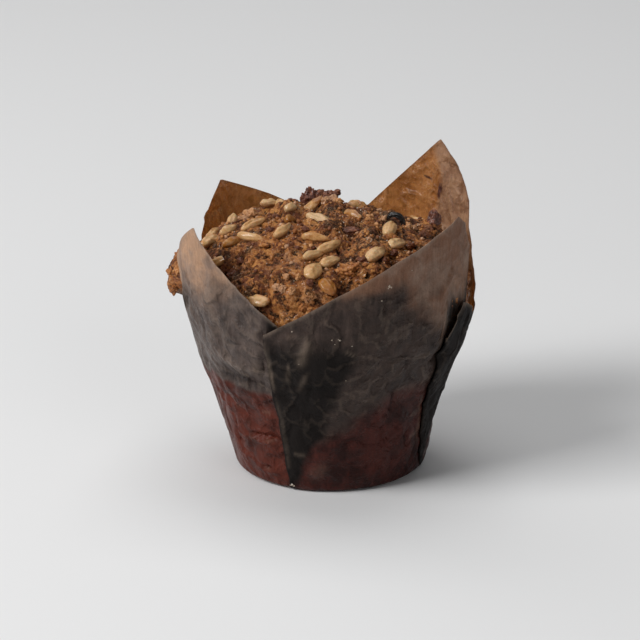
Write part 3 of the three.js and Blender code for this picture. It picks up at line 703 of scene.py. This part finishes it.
bm = bmesh.new()
bmesh.ops.create_icosphere(bm, subdivisions=6, radius=1)
TOP_FROM = -0.1  # the part that is free of the paper starts at this height on the unit ball
shown = [e for e in bm.edges if all(v.co.z > TOP_FROM for v in e.verts)]
bmesh.ops.subdivide_edges(bm, edges=shown, cuts=3, use_grid_fill=True)
bmesh.ops.triangulate(bm, faces=[f for f in bm.faces if len(f.verts) > 3])
depth, burnt = [bm.verts.layers.float.new(name) for name in ("depth", "burnt")]
for v in bm.verts:
    away = v.co.normalized()
    azimuth = math.degrees(math.atan2(away.x, -away.y))
    low, high = 0, 100
    while high - low > 1e-3:
        middle = (low + high) / 2
        p = RELIEF_CENTRE + away * middle
        if p.z > FLOOR and math.hypot(p.x, p.y) < body_radius(azimuth, p.z):
            low = middle
        else:
            high = middle
    p = RELIEF_CENTRE + away * low
    v[depth] = 0.5
    marks = [rise * math.exp(-(((p - Vector(at)).length / width) ** 2)) for *at, rise, width in BURNT]
    v[burnt] = min(sum(marks), 1)
    if p.z > DOME_START - 1:
        p = crust(p)
        azimuth = math.degrees(math.atan2(p.x, -p.y))
        fine, v[depth] = crumb(p)
        free = ramp((p.z - DOME_START) / 4) * ramp(0.4 + (p.z - paper_top(azimuth) + 4) / 6)
        inward = ramp((p.z - 53) / 6)
        p += (p - RELIEF_CENTRE).normalized() * fine * max(free, inward * (1 if fine < 0 else 0.75))
    v.co = p * MM
for face in bm.faces:
    face.smooth = True
crust_mesh = bpy.data.meshes.new("muffin_crust")
bm.to_mesh(crust_mesh)
crust_tree = BVHTree.FromBMesh(bm)
bm.free()

SHADED_CREASE_CRUST = (0.048, 0.017, 0.007)
PLUM_CRUST = (0.155, 0.048, 0.020)
ORANGE_CRUST = (0.36, 0.125, 0.032)
GOLDEN_CRUST = (0.60, 0.27, 0.08)
SUGARED_CRUST = (0.50, 0.28, 0.16)
RED_GLAZE = (0.44, 0.12, 0.04)


def baked_crust():
    made, at, place = material("baked_crust", coat_roughness=0.12, specular_ior_level=0.15)
    height, burnt = at.attribute("depth"), at.attribute("burnt")
    region = at.noise(place, 12, 2)
    patch = at.noise(place, 4.2, 3)
    grain = at.noise(place, 0.9, 4, 0.7)
    speck = at.noise(place, 0.35, 2, 0.6)
    bit = at.cells(place, 1.1, 1)
    tone = bit.node("SeparateColor", sockets={0: bit})
    warm = (patch + (region - 0.5) * 0.9 + (tone - 0.5) * 0.35 - burnt * 0.3).between(0.3, 0.56)
    colour = warm.mix(PLUM_CRUST, ORANGE_CRUST)
    # Golden tone, with painted light where the knobs stand high.
    golden_and_lit = height * 0.8 + (grain - 0.5) * 1.6 + (tone - 0.5) * 0.6 + (region - 0.5) * 1.8 - burnt * 0.35
    colour = golden_and_lit.between(0.35, 1.05).mix(colour, GOLDEN_CRUST)
    frost = (at.noise(place, 7, 2) + (grain - 0.5) * 0.9 + (height - 0.5) * 0.2).between(0.6, 0.8)
    colour = (frost * 0.45).mix(colour, SUGARED_CRUST)
    # Painted shade: the crust darkens into its creases.
    shade = (height + (grain - 0.5) * 1.4 - burnt * 0.2).between(0.46, 0.08)
    colour = shade.mix(colour, SHADED_CREASE_CRUST)
    fresh = (grain * 0.6 - burnt).between(0.55, 1.15)
    colour = (fresh * (0.2 + height * 0.5 + grain * 0.5)).mix(colour, RED_GLAZE)
    glint = (speck + (patch - 0.5) * 0.4).between(0.54, 0.66)
    # Painted glint: lighter colour where the sugar shines.
    colour = (glint * 0.3).mix(colour, (0.72, 0.44, 0.2))
    roughness = 0.66 - 0.35 * glint - 0.2 * grain - 0.2 * fresh
    wet = glint * (0.35 + height * 0.75) + fresh * 0.7
    finish(made, colour, roughness, grain + tone * 0.2 + speck * 0.5, 0.9, wet)
    return made


crust_mesh.materials.append(baked_crust())
show("muffin_crust", crust_mesh, "crust", "muffin")

# ---- Sunflower seeds ----
# Hulled kernels pressed into the raw top: flat drops, blunt at one end, pale where they lie proud
# and toasted golden at their tips and where the glaze ran over them.
# x, y, turn, lift of the far end, length, width, and how toasted they are.
SEEDS = [
    (-6, 12.5, 25, 40, 9.6, 3.6, 0.75), (-3, -4.5, -20, -12, 9.6, 4.8, 0.0),
    (-12.5, 7.5, 70, -20, 5.8, 3.2, 0.15), (-18.5, 19.5, 45, -15, 8.5, 3.7, 0.2),
    (-12, -1.5, 70, -10, 8, 2.4, 0.9), (-14.5, -14.5, 50, 0, 7.8, 2.7, 0.4),
    (-23.5, -4, 30, 10, 9, 2.7, 0.6), (-30.5, 10.5, 80, 0, 8, 3, 0.3), (-31, -3, 50, -5, 7.7, 3, 0.4),
    (-36, 0.5, 60, 5, 8, 2.4, 0.55), (-24, -12.5, -30, -10, 9.5, 2.7, 0.5),
    (-29.5, -12.5, 30, 0, 7.4, 2.7, 0.9), (-36.5, -3, 45, -15, 7.8, 3, 0.45),
    (-33.5, -13.5, 5, 5, 8.6, 2.7, 0.55), (-4.5, -18, -15, 0, 8.9, 2.4, 0.7),
    (-0.5, -21.5, 40, 10, 9.3, 3, 0.45), (-5, -25.5, 40, -5, 8.5, 2.7, 0.3),
    (0, -27.5, 45, -5, 7.9, 3.7, 0.35), (-5, -33.5, 70, 5, 8.4, 4.7, 0.55),
    (-1, -38, -55, 5, 7.2, 4.2, 1.0), (13.5, -26.5, 55, 10, 8.8, 4, 0.3),
    (18, -8.5, 80, 10, 8.7, 4, 0.4), (20, -16.5, 55, 5, 8.2, 4, 0.25), (7, 5.5, -45, 5, 7.7, 2.7, 0.85),
    (8, 30.5, -70, 0, 8.4, 3, 0.5), (-21, -33, -30, 15, 7.4, 3.7, 0.4),
]
SEED_THICKNESS = 2.4
STREWN_SEEDS = 14
STREWN_RADIUS = (12, 36)
STREWN_FROM, STREWN_OVER = 95, 150  # azimuths of the far side
GOLDEN_ANGLE = 137.5
ABOVE_ALL = 120


def lie_on_crust(x, y, turn, lift, raised, spread=2.4):
    """A matrix that lays a piece on the crust over a point of the plan, its Z out of the crust."""
    rays = [(x + dx * spread, y + dy * spread) for dx, dy in ((0, 0), (1, 0), (-1, 0), (0, 1), (0, -1))]
    hits = [crust_tree.ray_cast(Vector((a, b, ABOVE_ALL)) * MM, Vector((0, 0, -1))) for a, b in rays]
    points = [hit[0] / MM for hit in hits if hit[0]]
    height = sorted(p.z for p in points)[len(points) // 2]
    up = Vector((0, 0, 1))
    if len(points) == 5:
        east, west, north, south = points[1:]
        up = (east - west).cross(north - south).normalized()
        if up.z < 0:
            up = -up
    lean = up.lerp(Vector((0, 0, 1)), 0.35).normalized()
    along = Vector((math.cos(math.radians(turn)), math.sin(math.radians(turn)), 0))
    across = lean.cross(along).normalized()
    ahead = across.cross(lean)
    basis = Matrix((ahead, across, lean)).transposed().to_4x4()
    tilt = Matrix.Rotation(math.radians(-lift), 4, "Y")
    return Matrix.Translation((Vector((x, y, height)) + lean * raised)) @ basis @ tilt


def mesh_from(bm, name, *skins, smooth=True):
    """The mesh of a bmesh that is in millimetres, with its materials."""
    bmesh.ops.scale(bm, vec=(MM, MM, MM), verts=bm.verts)
    for face in bm.faces:
        face.smooth = smooth
    mesh = bpy.data.meshes.new(name)
    bm.to_mesh(mesh)
    bm.free()
    for skin in skins:
        mesh.materials.append(skin)
    return mesh


def strewn_seeds():
    """One seed in each cell of a spiral over the far side, but none that stands over the top."""
    out = []
    for i in range(STREWN_SEEDS):
        share = lambda n: (lattice_noise(i * 1.7 + 0.5, n * 3.3 + 0.5, 7.5) + 1) / 2
        near, far = STREWN_RADIUS
        radius = near + (far - near) * math.sqrt((i + share(1)) / STREWN_SEEDS)
        azimuth = STREWN_FROM + (i * GOLDEN_ANGLE) % STREWN_OVER + 10 * share(2)
        spot = around(azimuth, radius, 0)
        if spot.y < 13 or spot.y < 22 and abs(spot.x) < 15:
            continue
        turn, lift, toasted = 360 * share(5), 15 * share(6), share(7)
        out.append((spot.x, spot.y, turn, lift, 7.5 + 2 * share(3), 3 + share(4), toasted))
    return out


bm = bmesh.new()
tip, tone, foot = [bm.verts.layers.float.new(name) for name in ("tip", "tone", "foot")]
seeded = random.Random(3)
for x, y, turn, lift, length, width, toasted in SEEDS + strewn_seeds():
    seed = bmesh.ops.create_icosphere(bm, subdivisions=4, radius=0.5)["verts"]
    bend, number, blunt = seeded.uniform(-0.5, 0.5), seeded.random() * 50, seeded.uniform(0.45, 0.75)
    raised = 0.5 - 0.35 * toasted + 0.07 * max(lift - 15, 0)
    for v in seed:
        p = v.co.copy()
        v[tip], v[tone], v[foot] = p.x + 0.5, toasted, 0.5 - p.z
        # Rounder ends than a ball's, then a taper towards one of them.
        girth = math.hypot(p.y, p.z)
        full = math.sqrt(max(0.25 - 2 * abs(p.x) ** 3, 1e-9))
        full /= max(math.sqrt(max(0.25 - p.x**2, 1e-9)), 1e-4)
        narrow = min(full, 1.3) * (1.1 - 0.85 * blunt * ramp((p.x + 0.05) / 0.75))
        flat = p.y * width * narrow
        thick = p.z * SEED_THICKNESS * narrow * (1.1 - 0.25 * p.x)
        dent = 0.3 * noise.noise(v.co * 3.2 + Vector((number, 0, 0)))
        dent += 0.1 * noise.noise(v.co * 9 + Vector((number, 4, 0)))
        ridge = 0.22 * math.exp(-(((flat - 0.3 * bend) / 0.45) ** 2)) * min(girth * 3, 1)
        sway = bend * (1 - 4 * p.x * p.x)
        long = p.x * length * (1 + 0.1 * dent)
        high = thick * (1 + dent) + (ridge if p.z > 0 else 0)
        v.co = Vector((long, flat * (1 + 0.35 * dent) + sway, high))
    bmesh.ops.transform(bm, matrix=lie_on_crust(x, y, turn, lift, raised), verts=seed)

PALE_SEED = (0.64, 0.42, 0.215)
TAN_SEED = (0.56, 0.31, 0.12)
GOLDEN_SEED = (0.33, 0.125, 0.016)
TOASTED_TIP = (0.30, 0.115, 0.03)


def glazed_kernel():
    constants = {"subsurface_weight": 0.12, "subsurface_scale": 0.001, "coat_roughness": 0.12}
    made, at, place = material("glazed_kernel", specular_ior_level=0.25, **constants)
    end, toasted, foot = [at.attribute(n) for n in ("tip", "tone", "foot")]
    blotch = at.noise(place, 2.2, 3)
    fine = at.noise(place, 0.5, 3)
    colour = (toasted + (blotch - 0.5) * 1.1).between(0.0, 0.7).mix(PALE_SEED, TAN_SEED)
    colour = (toasted + (blotch - 0.5) * 0.9).between(0.55, 1.0).mix(colour, GOLDEN_SEED)
    toast = ((end - 0.5) * 1.5 + (blotch - 0.5) * 1.8 + (toasted - 0.5) * 0.7).between(0.15, 1.0)
    colour = (toast * 0.9).mix(colour, TOASTED_TIP)
    colour = (fine.between(0.48, 0.7) * 0.5).mix(colour, (0.6, 0.48, 0.35), "MULTIPLY")
    # Painted shade: darker towards the seed's underside, where it meets the crust.
    under = (foot + (blotch - 0.5) * 0.5).between(0.35, 0.8) * 0.8
    colour = under.mix(colour, (0.42, 0.25, 0.14), "MULTIPLY")
    finish(made, colour, 0.5 - 0.15 * blotch, fine * 0.5 + blotch, 0.2, 0.15 + 0.6 * blotch)
    return made


show("sunflower_seeds", mesh_from(bm, "sunflower_seeds", glazed_kernel()), "crust")

# ---- Crumbs and nodules on the crust ----
# Bits of dough and chopped fruit that baked fast to the top, from fine crumbs to lumps of a few
# millimetres: plum, golden or frosted with sugar. x, y, size, tone from plum (0) to frosted (1).
NODULES = [
    (0.5, 14, 3.6, 0.95), (-1.5, 12, 2.6, 0.9), (2.5, 12.5, 2.4, 0.8), (4.5, 13, 2.2, 0.3),
    (-24.5, 8, 4.6, 0.85), (-26.5, 5.5, 3, 0.9), (-22.5, 9.5, 3, 0.75), (4.5, -31.5, 4.4, 0.5),
    (7, -31.5, 3, 0.45), (-14, -37, 2.4, 0.9), (-11.5, -38.5, 2.2, 0.85), (-16, -34.5, 2.2, 0.9),
    (-9.5, -35.5, 2, 0.8), (-13, -33.5, 2, 0.85), (-17.5, -36.5, 2.4, 0.4), (-8, -39.5, 2.6, 0.5),
    (-6, -37.5, 2.2, 0.15), (9.5, -29, 2.6, 0.1), (16, -27.5, 2.4, 0.05), (19, -21, 2.2, 0.1),
    (24, -14.5, 2.6, 0.2), (28, -6, 2.6, 0.15), (29, 1, 3, 0.2), (25.5, 4, 2.6, 0.9),
    (24, -1, 2.4, 0.85), (12, 0, 2.6, 0.8), (14, -3.5, 2.2, 0.85), (16.5, 5, 2.4, 0.9),
    (11, -14.5, 2, 0.6), (-18.5, -10, 2.2, 0.1), (-20, -18, 2.4, 0.55), (-27, -18, 2.6, 0.1),
    (-29.5, -21, 2.4, 0.05), (-24, -23, 2.4, 0.5), (-9, -9, 2.2, 0.2), (-7.5, -13.5, 2.0, 0.05),
    (-17, 2.5, 2.4, 0.15),
]
# The same on the side that burst out: azimuth, height, size, tone.
BURST_KNOBS = [
    (-97, 64.8, 4.6, 0.45), (-92, 63, 4, 0.55), (-102, 62, 4.4, 0.35), (-97, 60, 4.4, 0.5),
    (-92.5, 58, 4.2, 0.4), (-102, 57, 4.4, 0.55), (-96.5, 55.4, 4.4, 0.45), (-91, 54.4, 3.4, 0.35),
    (-88, 60, 3.6, 0.6), (-107, 59.5, 4, 0.4), (-87, 65, 3.4, 0.3), (-98, 65.8, 4.4, 0.5),
    (-95, 67.5, 3.2, 0.5), (-104, 66, 3, 0.55), (-93, 61.2, 3, 0.7), (-99, 59, 2.6, 0.3),
]
CRUMBS = 520
STREWN_OUT_TO = 39  # radius of the crust on which crumbs and sugar lie
KNOBBLY = 2  # a bit of at least this size shows its own lumps


def stand_on_side(tree, azimuth, z, sunk):
    """A matrix that sets a piece on a side of the muffin or its case, its Z outwards."""
    outward = around(azimuth, 1, 0)
    place, normal, _, _ = tree.ray_cast((outward * 90 + Vector((0, 0, z))) * MM, -outward)
    turn = normal.to_track_quat("Z", "Y").to_matrix().to_4x4()
    return Matrix.Translation(place / MM - normal * sunk) @ turn


bm = bmesh.new()
tone = bm.verts.layers.float.new("tone")
seeded = random.Random(11)
strewn = []
for _ in range(CRUMBS):
    radius, azimuth = STREWN_OUT_TO * math.sqrt(seeded.random()), seeded.uniform(0, 360)
    spot = around(azimuth, radius, 0)
    size = 0.7 + 1.1 * seeded.random() ** 2
    strewn.append((spot.x, spot.y, size, seeded.choice((0.05, 0.2, 0.45, 0.55, 0.8, 0.95))))
pieces = [
    (lie_on_crust(x, y, 73 * x, 0, 0.12 * size, 0.8), size, shade)
    for x, y, size, shade in NODULES + strewn
]
pieces += [
    (stand_on_side(crust_tree, azimuth, z, 0.4 * size), size, shade)
    for azimuth, z, size, shade in BURST_KNOBS
]
for place, size, shade in pieces:
    fineness = 4 if size >= KNOBBLY else 1
    ball = bmesh.ops.create_icosphere(bm, subdivisions=fineness, radius=0.5)["verts"]
    number = seeded.random() * 90
    long, wide = seeded.uniform(0.8, 1.25), seeded.uniform(0.75, 1.1)
    for v in ball:
        spot = v.co * 2.6 + Vector((number, 0, 0))
        lump = 1 + 0.6 * noise.noise(spot)
        if size >= KNOBBLY:
            lump += 0.35 * noise.noise(v.co * 7 + Vector((0, number, 0)))
        v.co = Vector((v.co.x * long, v.co.y * wide, v.co.z * 0.85)) * lump * size
        v[tone] = shade
    bmesh.ops.transform(bm, matrix=place, verts=ball)


def baked_crumb():
    made, at, place = material("baked_crumb", coat_roughness=0.12, specular_ior_level=0.25)
    kind = at.attribute("tone")
    grain = at.noise(place, 0.8, 4, 0.7)
    patch = at.noise(place, 2.4, 2)
    colour = (kind + (patch - 0.5) * 0.5).between(0.1, 0.5).mix(PLUM_CRUST, ORANGE_CRUST)
    colour = (kind + (grain - 0.5) * 0.9).between(0.4, 0.75).mix(colour, GOLDEN_CRUST)
    colour = (kind + (grain - 0.5) * 0.7).between(0.7, 1.0).mix(colour, SUGARED_CRUST)
    colour = (grain.between(0.52, 0.36) * 0.7).mix(colour, (0.4, 0.3, 0.25), "MULTIPLY")
    finish(made, colour, 0.6 - 0.25 * patch, grain, 0.5, 0.4 * patch)
    return made


show("crust_crumbs", mesh_from(bm, "crust_crumbs", baked_crumb()), "crust")

# ---- Sugar ----
# Coarse sugar that didn't melt: crystals that glint between the crumbs, and a few grains stuck to
# the greasy paper. Grains on the paper: azimuth, height, size.
CRYSTALS = 180
CRYSTAL_SIZE = (0.28, 0.55)
GRAINS = [
    (22.1, 71.4, 0.9), (22.9, 71.0, 0.6), (21.8, 70.7, 0.5), (0.5, 55.3, 0.55), (3.5, 55.2, 0.7),
    (3.0, 55.5, 0.4), (-14.6, 57.7, 0.5), (-22.8, 2.1, 0.8), (-21.6, 1.8, 0.6), (-24.0, 1.8, 0.5),
    (19.1, 67.2, 0.45), (1.6, 53.9, 0.35), (8.1, 53.4, 0.35), (6.2, 41.5, 0.35), (-12.0, 47.6, 0.3),
    (31, 75.5, 0.35), (140, 62, 0.5), (200, 45, 0.5), (-88, 56, 0.35),
]
bm = bmesh.new()
seeded = random.Random(5)
places = []
for _ in range(CRYSTALS):
    spot = around(seeded.uniform(0, 360), STREWN_OUT_TO * math.sqrt(seeded.random()), 0)
    lay = lie_on_crust(spot.x, spot.y, seeded.uniform(0, 360), 0, 0.12, 0.5)
    places.append((lay, seeded.uniform(*CRYSTAL_SIZE)))
for azimuth, z, size in GRAINS:
    places.append((stand_on_side(case_tree, azimuth, z, 0), size))
for lay, size in places:
    grain = bmesh.ops.create_icosphere(bm, subdivisions=1, radius=size / 2)["verts"]
    for v in grain:
        v.co *= seeded.uniform(0.75, 1.2)
    turn = Matrix.Rotation(seeded.uniform(0, 6.28), 4, (seeded.random(), seeded.random(), 1))
    bmesh.ops.transform(bm, matrix=lay @ turn, verts=grain)


def sugar():
    made, at, place = material("sugar", transmission_weight=0.35, specular_ior_level=0.7)
    cloudy = at.noise(place, 0.4, 2)
    finish(made, cloudy.mix((0.62, 0.45, 0.3), (0.85, 0.76, 0.66)), 0.12 + 0.2 * cloudy)
    return made


show("sugar_grains", mesh_from(bm, "sugar_grains", sugar(), smooth=False), "crust")

# ---- Dried fruit ----
# Raisins and a date's end that were stirred into the dough. Those at its top dried out and turned
# nearly black in the oven, with folded skins.
RAISINS = {
    "dried_fruit_right": {"size": (4.4, 4.2, 6.6), "turn": 20},
    "dried_fruit_centre": {"size": (7.2, 4.4, 3), "turn": 10},
    "dried_fruit_back": {"size": (5.4, 4.4, 3.8), "turn": 40},
}


def shrivel(verts, size, seed, swell=0.16, fine=0.1):
    """Pulls a unit ball to size, with folds that run round it."""
    for v in verts:
        p = v.co.copy()
        swirl = swell * lattice_noise(p.x * 2 + seed, p.y * 2, p.z * 2)
        ribs = 0.07 * math.sin(6 * math.atan2(p.z, p.y) + seed)
        crease = fine * (abs(noise.noise(p * 3.2 + Vector((seed, 0, 0)))) * 2 - 0.6)
        crease += 0.4 * fine * (abs(noise.noise(p * 8 + Vector((0, seed, 0)))) * 2 - 0.5)
        fold = (1 + swirl + ribs + crease) / 2
        v.co = Vector((p.x * size[0], p.y * size[1], p.z * size[2])) * fold


def fruit_skin(name, deep, ridge, shine):
    made, at, place = material(name, coat_weight=shine, coat_roughness=0.15, specular_ior_level=0.25)
    fold = at.noise(place, 1.3, 4)
    fine = at.noise(place, 0.35, 3)
    # The skin's tone with painted shade and light: darker in its folds and paler on its ridges, following
    # the noise of its bump.
    colour = (fold * 0.7 + fine * 0.3).between(0.42, 0.72).mix(deep, ridge)
    finish(made, colour, 0.52 - 0.2 * fold, fold + fine * 0.4, 0.5)
    return made


plum_skin = fruit_skin("plum_skin", (0.085, 0.026, 0.016), (0.38, 0.135, 0.07), 0.35)
black_skin = fruit_skin("black_skin", (0.006, 0.006, 0.006), (0.04, 0.03, 0.026), 0.5)
baked_skin = fruit_skin("baked_skin", (0.10, 0.031, 0.016), (0.36, 0.135, 0.06), 0.3)
for number, (name, piece) in enumerate(RAISINS.items()):
    bm = bmesh.new()
    ball = bmesh.ops.create_icosphere(bm, subdivisions=5, radius=1)["verts"]
    shrivel(ball, piece["size"], 3 * number + 1)
    low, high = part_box(name)
    turn = Matrix.Rotation(math.radians(piece["turn"]), 4, "Z")
    bmesh.ops.transform(bm, matrix=Matrix.Translation((low + high) / 2 / MM) @ turn, verts=ball)
    skin = baked_skin if name == "dried_fruit_centre" else plum_skin
    show(name.replace("dried_fruit", "raisin"), mesh_from(bm, name, skin), "dried_fruit", name)

# The middle one is a curled black strip of skin that stands round a seed.
CURL = {"length": 9, "girth": 1.7, "radius": 2.7, "turn": 38}
bm = bmesh.new()
strip = bmesh.ops.create_icosphere(bm, subdivisions=5, radius=1)["verts"]
shrivel(strip, (2, CURL["girth"], CURL["girth"]), 23)
for v in strip:
    angle = v.co.x * CURL["length"] / 2 / CURL["radius"]
    reach = CURL["radius"] + v.co.z
    v.co = Vector((reach * math.sin(angle), v.co.y * 1.5, reach * math.cos(angle) - 0.8))
low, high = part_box("dried_fruit_middle")
place = Matrix.Translation((low + high) / 2 / MM) @ Matrix.Rotation(math.radians(CURL["turn"]), 4, "Y")
bmesh.ops.transform(bm, matrix=place, verts=strip)
middle_mesh = mesh_from(bm, "dried_fruit_middle", black_skin)
show("raisin_middle", middle_mesh, "dried_fruit", "dried_fruit_middle")

# The top piece: a dark angular lump, and beside it a ragged flake of its skin, baked red.
LUMP_SIZE = (5.2, 4.8, 7.4)
LUMP_PLACE = (0.6, 0, -0.4)
LUMP_HORNS = [(0.1, 0, 2.4, 2.2), (1.8, 0.3, 1.6, 2.6), (-1.3, 0, 0.4, 2.4)]
FLAKE_KNOBS = [  # along the flake from the lump: x, y, z, size
    (2.8, 0.2, 1.2, 4.0), (4.4, 0.6, 1.5, 3.6), (5.9, 0.2, 1.2, 3.5), (7.2, 0.6, 1.5, 3.3),
    (8.3, 0.3, 1.6, 3.0), (9.2, 0.5, 2.3, 2.2), (9.8, 0.4, 3.0, 1.3), (6.2, 0.2, -0.8, 3.6),
]
bm = bmesh.new()
for x, y, z, size in LUMP_HORNS:
    horn = bmesh.ops.create_icosphere(bm, subdivisions=4, radius=1)["verts"]
    shrivel(horn, (size * 0.8, size * 0.8, size * 1.5), x * 5, 0.3, 0.2)
    bmesh.ops.translate(bm, vec=(x, y, z), verts=horn)
lump = bmesh.ops.create_icosphere(bm, subdivisions=5, radius=1)["verts"]
shrivel(lump, LUMP_SIZE, 11, 0.32, 0.2)
bmesh.ops.translate(bm, vec=LUMP_PLACE, verts=lump)
for x, y, z, size in FLAKE_KNOBS:
    knob = bmesh.ops.create_icosphere(bm, subdivisions=4, radius=1)
    shrivel(knob["verts"], (size * 1.1, size, size), x * 3, 0.35, 0.2)
    bmesh.ops.translate(bm, vec=(x, y, z), verts=knob["verts"])
    for face in {f for v in knob["verts"] for f in v.link_faces}:
        face.material_index = 1
low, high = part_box("dried_fruit_top")
middle = Vector((low.x / MM + 2.6, low.y / MM + 2.6, (low.z + high.z) / 2 / MM - 0.1))
bmesh.ops.translate(bm, vec=middle, verts=bm.verts)
top_mesh = mesh_from(bm, "dried_fruit_top", plum_skin, baked_skin)
show("fruit_on_top", top_mesh, "dried_fruit", "dried_fruit_top")

# ---- The floor, the light and the camera ----
# A pale seamless floor, lit by a large soft window on the left and by three weaker ones, and seen
# from a little above.
bpy.ops.mesh.primitive_plane_add(size=8)
floor = bpy.context.object
floor.name = "floor"
FLOOR_FINISH = {"base_color": (0.8, 0.8, 0.8, 1), "roughness": 0.85, "specular_ior_level": 0.1}
floor.data.materials.append(material("pale_floor", **FLOOR_FINISH)[0])

world = bpy.data.worlds.new("studio")
bpy.context.scene.world = world
world.use_nodes = True
daylight = world.node_tree.nodes["Background"].inputs
daylight["Color"].default_value = (0.92, 0.94, 0.97, 1)
daylight["Strength"].default_value = 0.08


def window(name, azimuth, elevation, distance, size, power):
    """A square soft light that faces the muffin."""
    light = bpy.data.lights.new(name, "AREA")
    light.energy, light.size = power, size
    lamp = bpy.data.objects.new(name, light)
    bpy.context.scene.collection.objects.link(lamp)
    a, e = math.radians(azimuth), math.radians(elevation)
    away = Vector((math.sin(a) * math.cos(e), -math.cos(a) * math.cos(e), math.sin(e)))
    lamp.location = away * distance + Vector((0, 0, 0.05))
    lamp.rotation_euler = away.to_track_quat("Z", "Y").to_euler()
    return lamp


window("key", -62, 38, 1.7, 0.8, 24)
window("top", 165, 74, 2.0, 1.4, 13)
window("fill", 35, 25, 2.6, 1.4, 8)
window("back", 215, 42, 2.6, 1.6, 8)

VIEW_ELEVATION = 19.5
VIEW_DISTANCE = 950
PIXELS_PER_MM = 3.17  # at the middle of the base
PICTURE = 640
BASE_AT = (330, 457)  # pixels from the left and from the top
SENSOR = 36
camera = bpy.data.cameras.new("camera")
camera.sensor_width = SENSOR
camera.lens = PIXELS_PER_MM * VIEW_DISTANCE / PICTURE * SENSOR
eye = bpy.data.objects.new("camera", camera)
bpy.context.scene.collection.objects.link(eye)
tilt = math.radians(VIEW_ELEVATION)
ahead = Vector((0, math.cos(tilt), -math.sin(tilt)))
above = Vector((0, math.sin(tilt), math.cos(tilt)))
aside = Vector((1, 0, 0))
shift = [(pixel - PICTURE / 2) / PIXELS_PER_MM for pixel in BASE_AT]
eye.location = (-ahead * VIEW_DISTANCE - aside * shift[0] + above * shift[1]) * MM
eye.rotation_euler = (math.radians(90 - VIEW_ELEVATION), 0, 0)
camera.clip_start, camera.clip_end = 0.05, 50
bpy.context.scene.camera = eye
bpy.context.scene.view_settings.view_transform = "Standard"
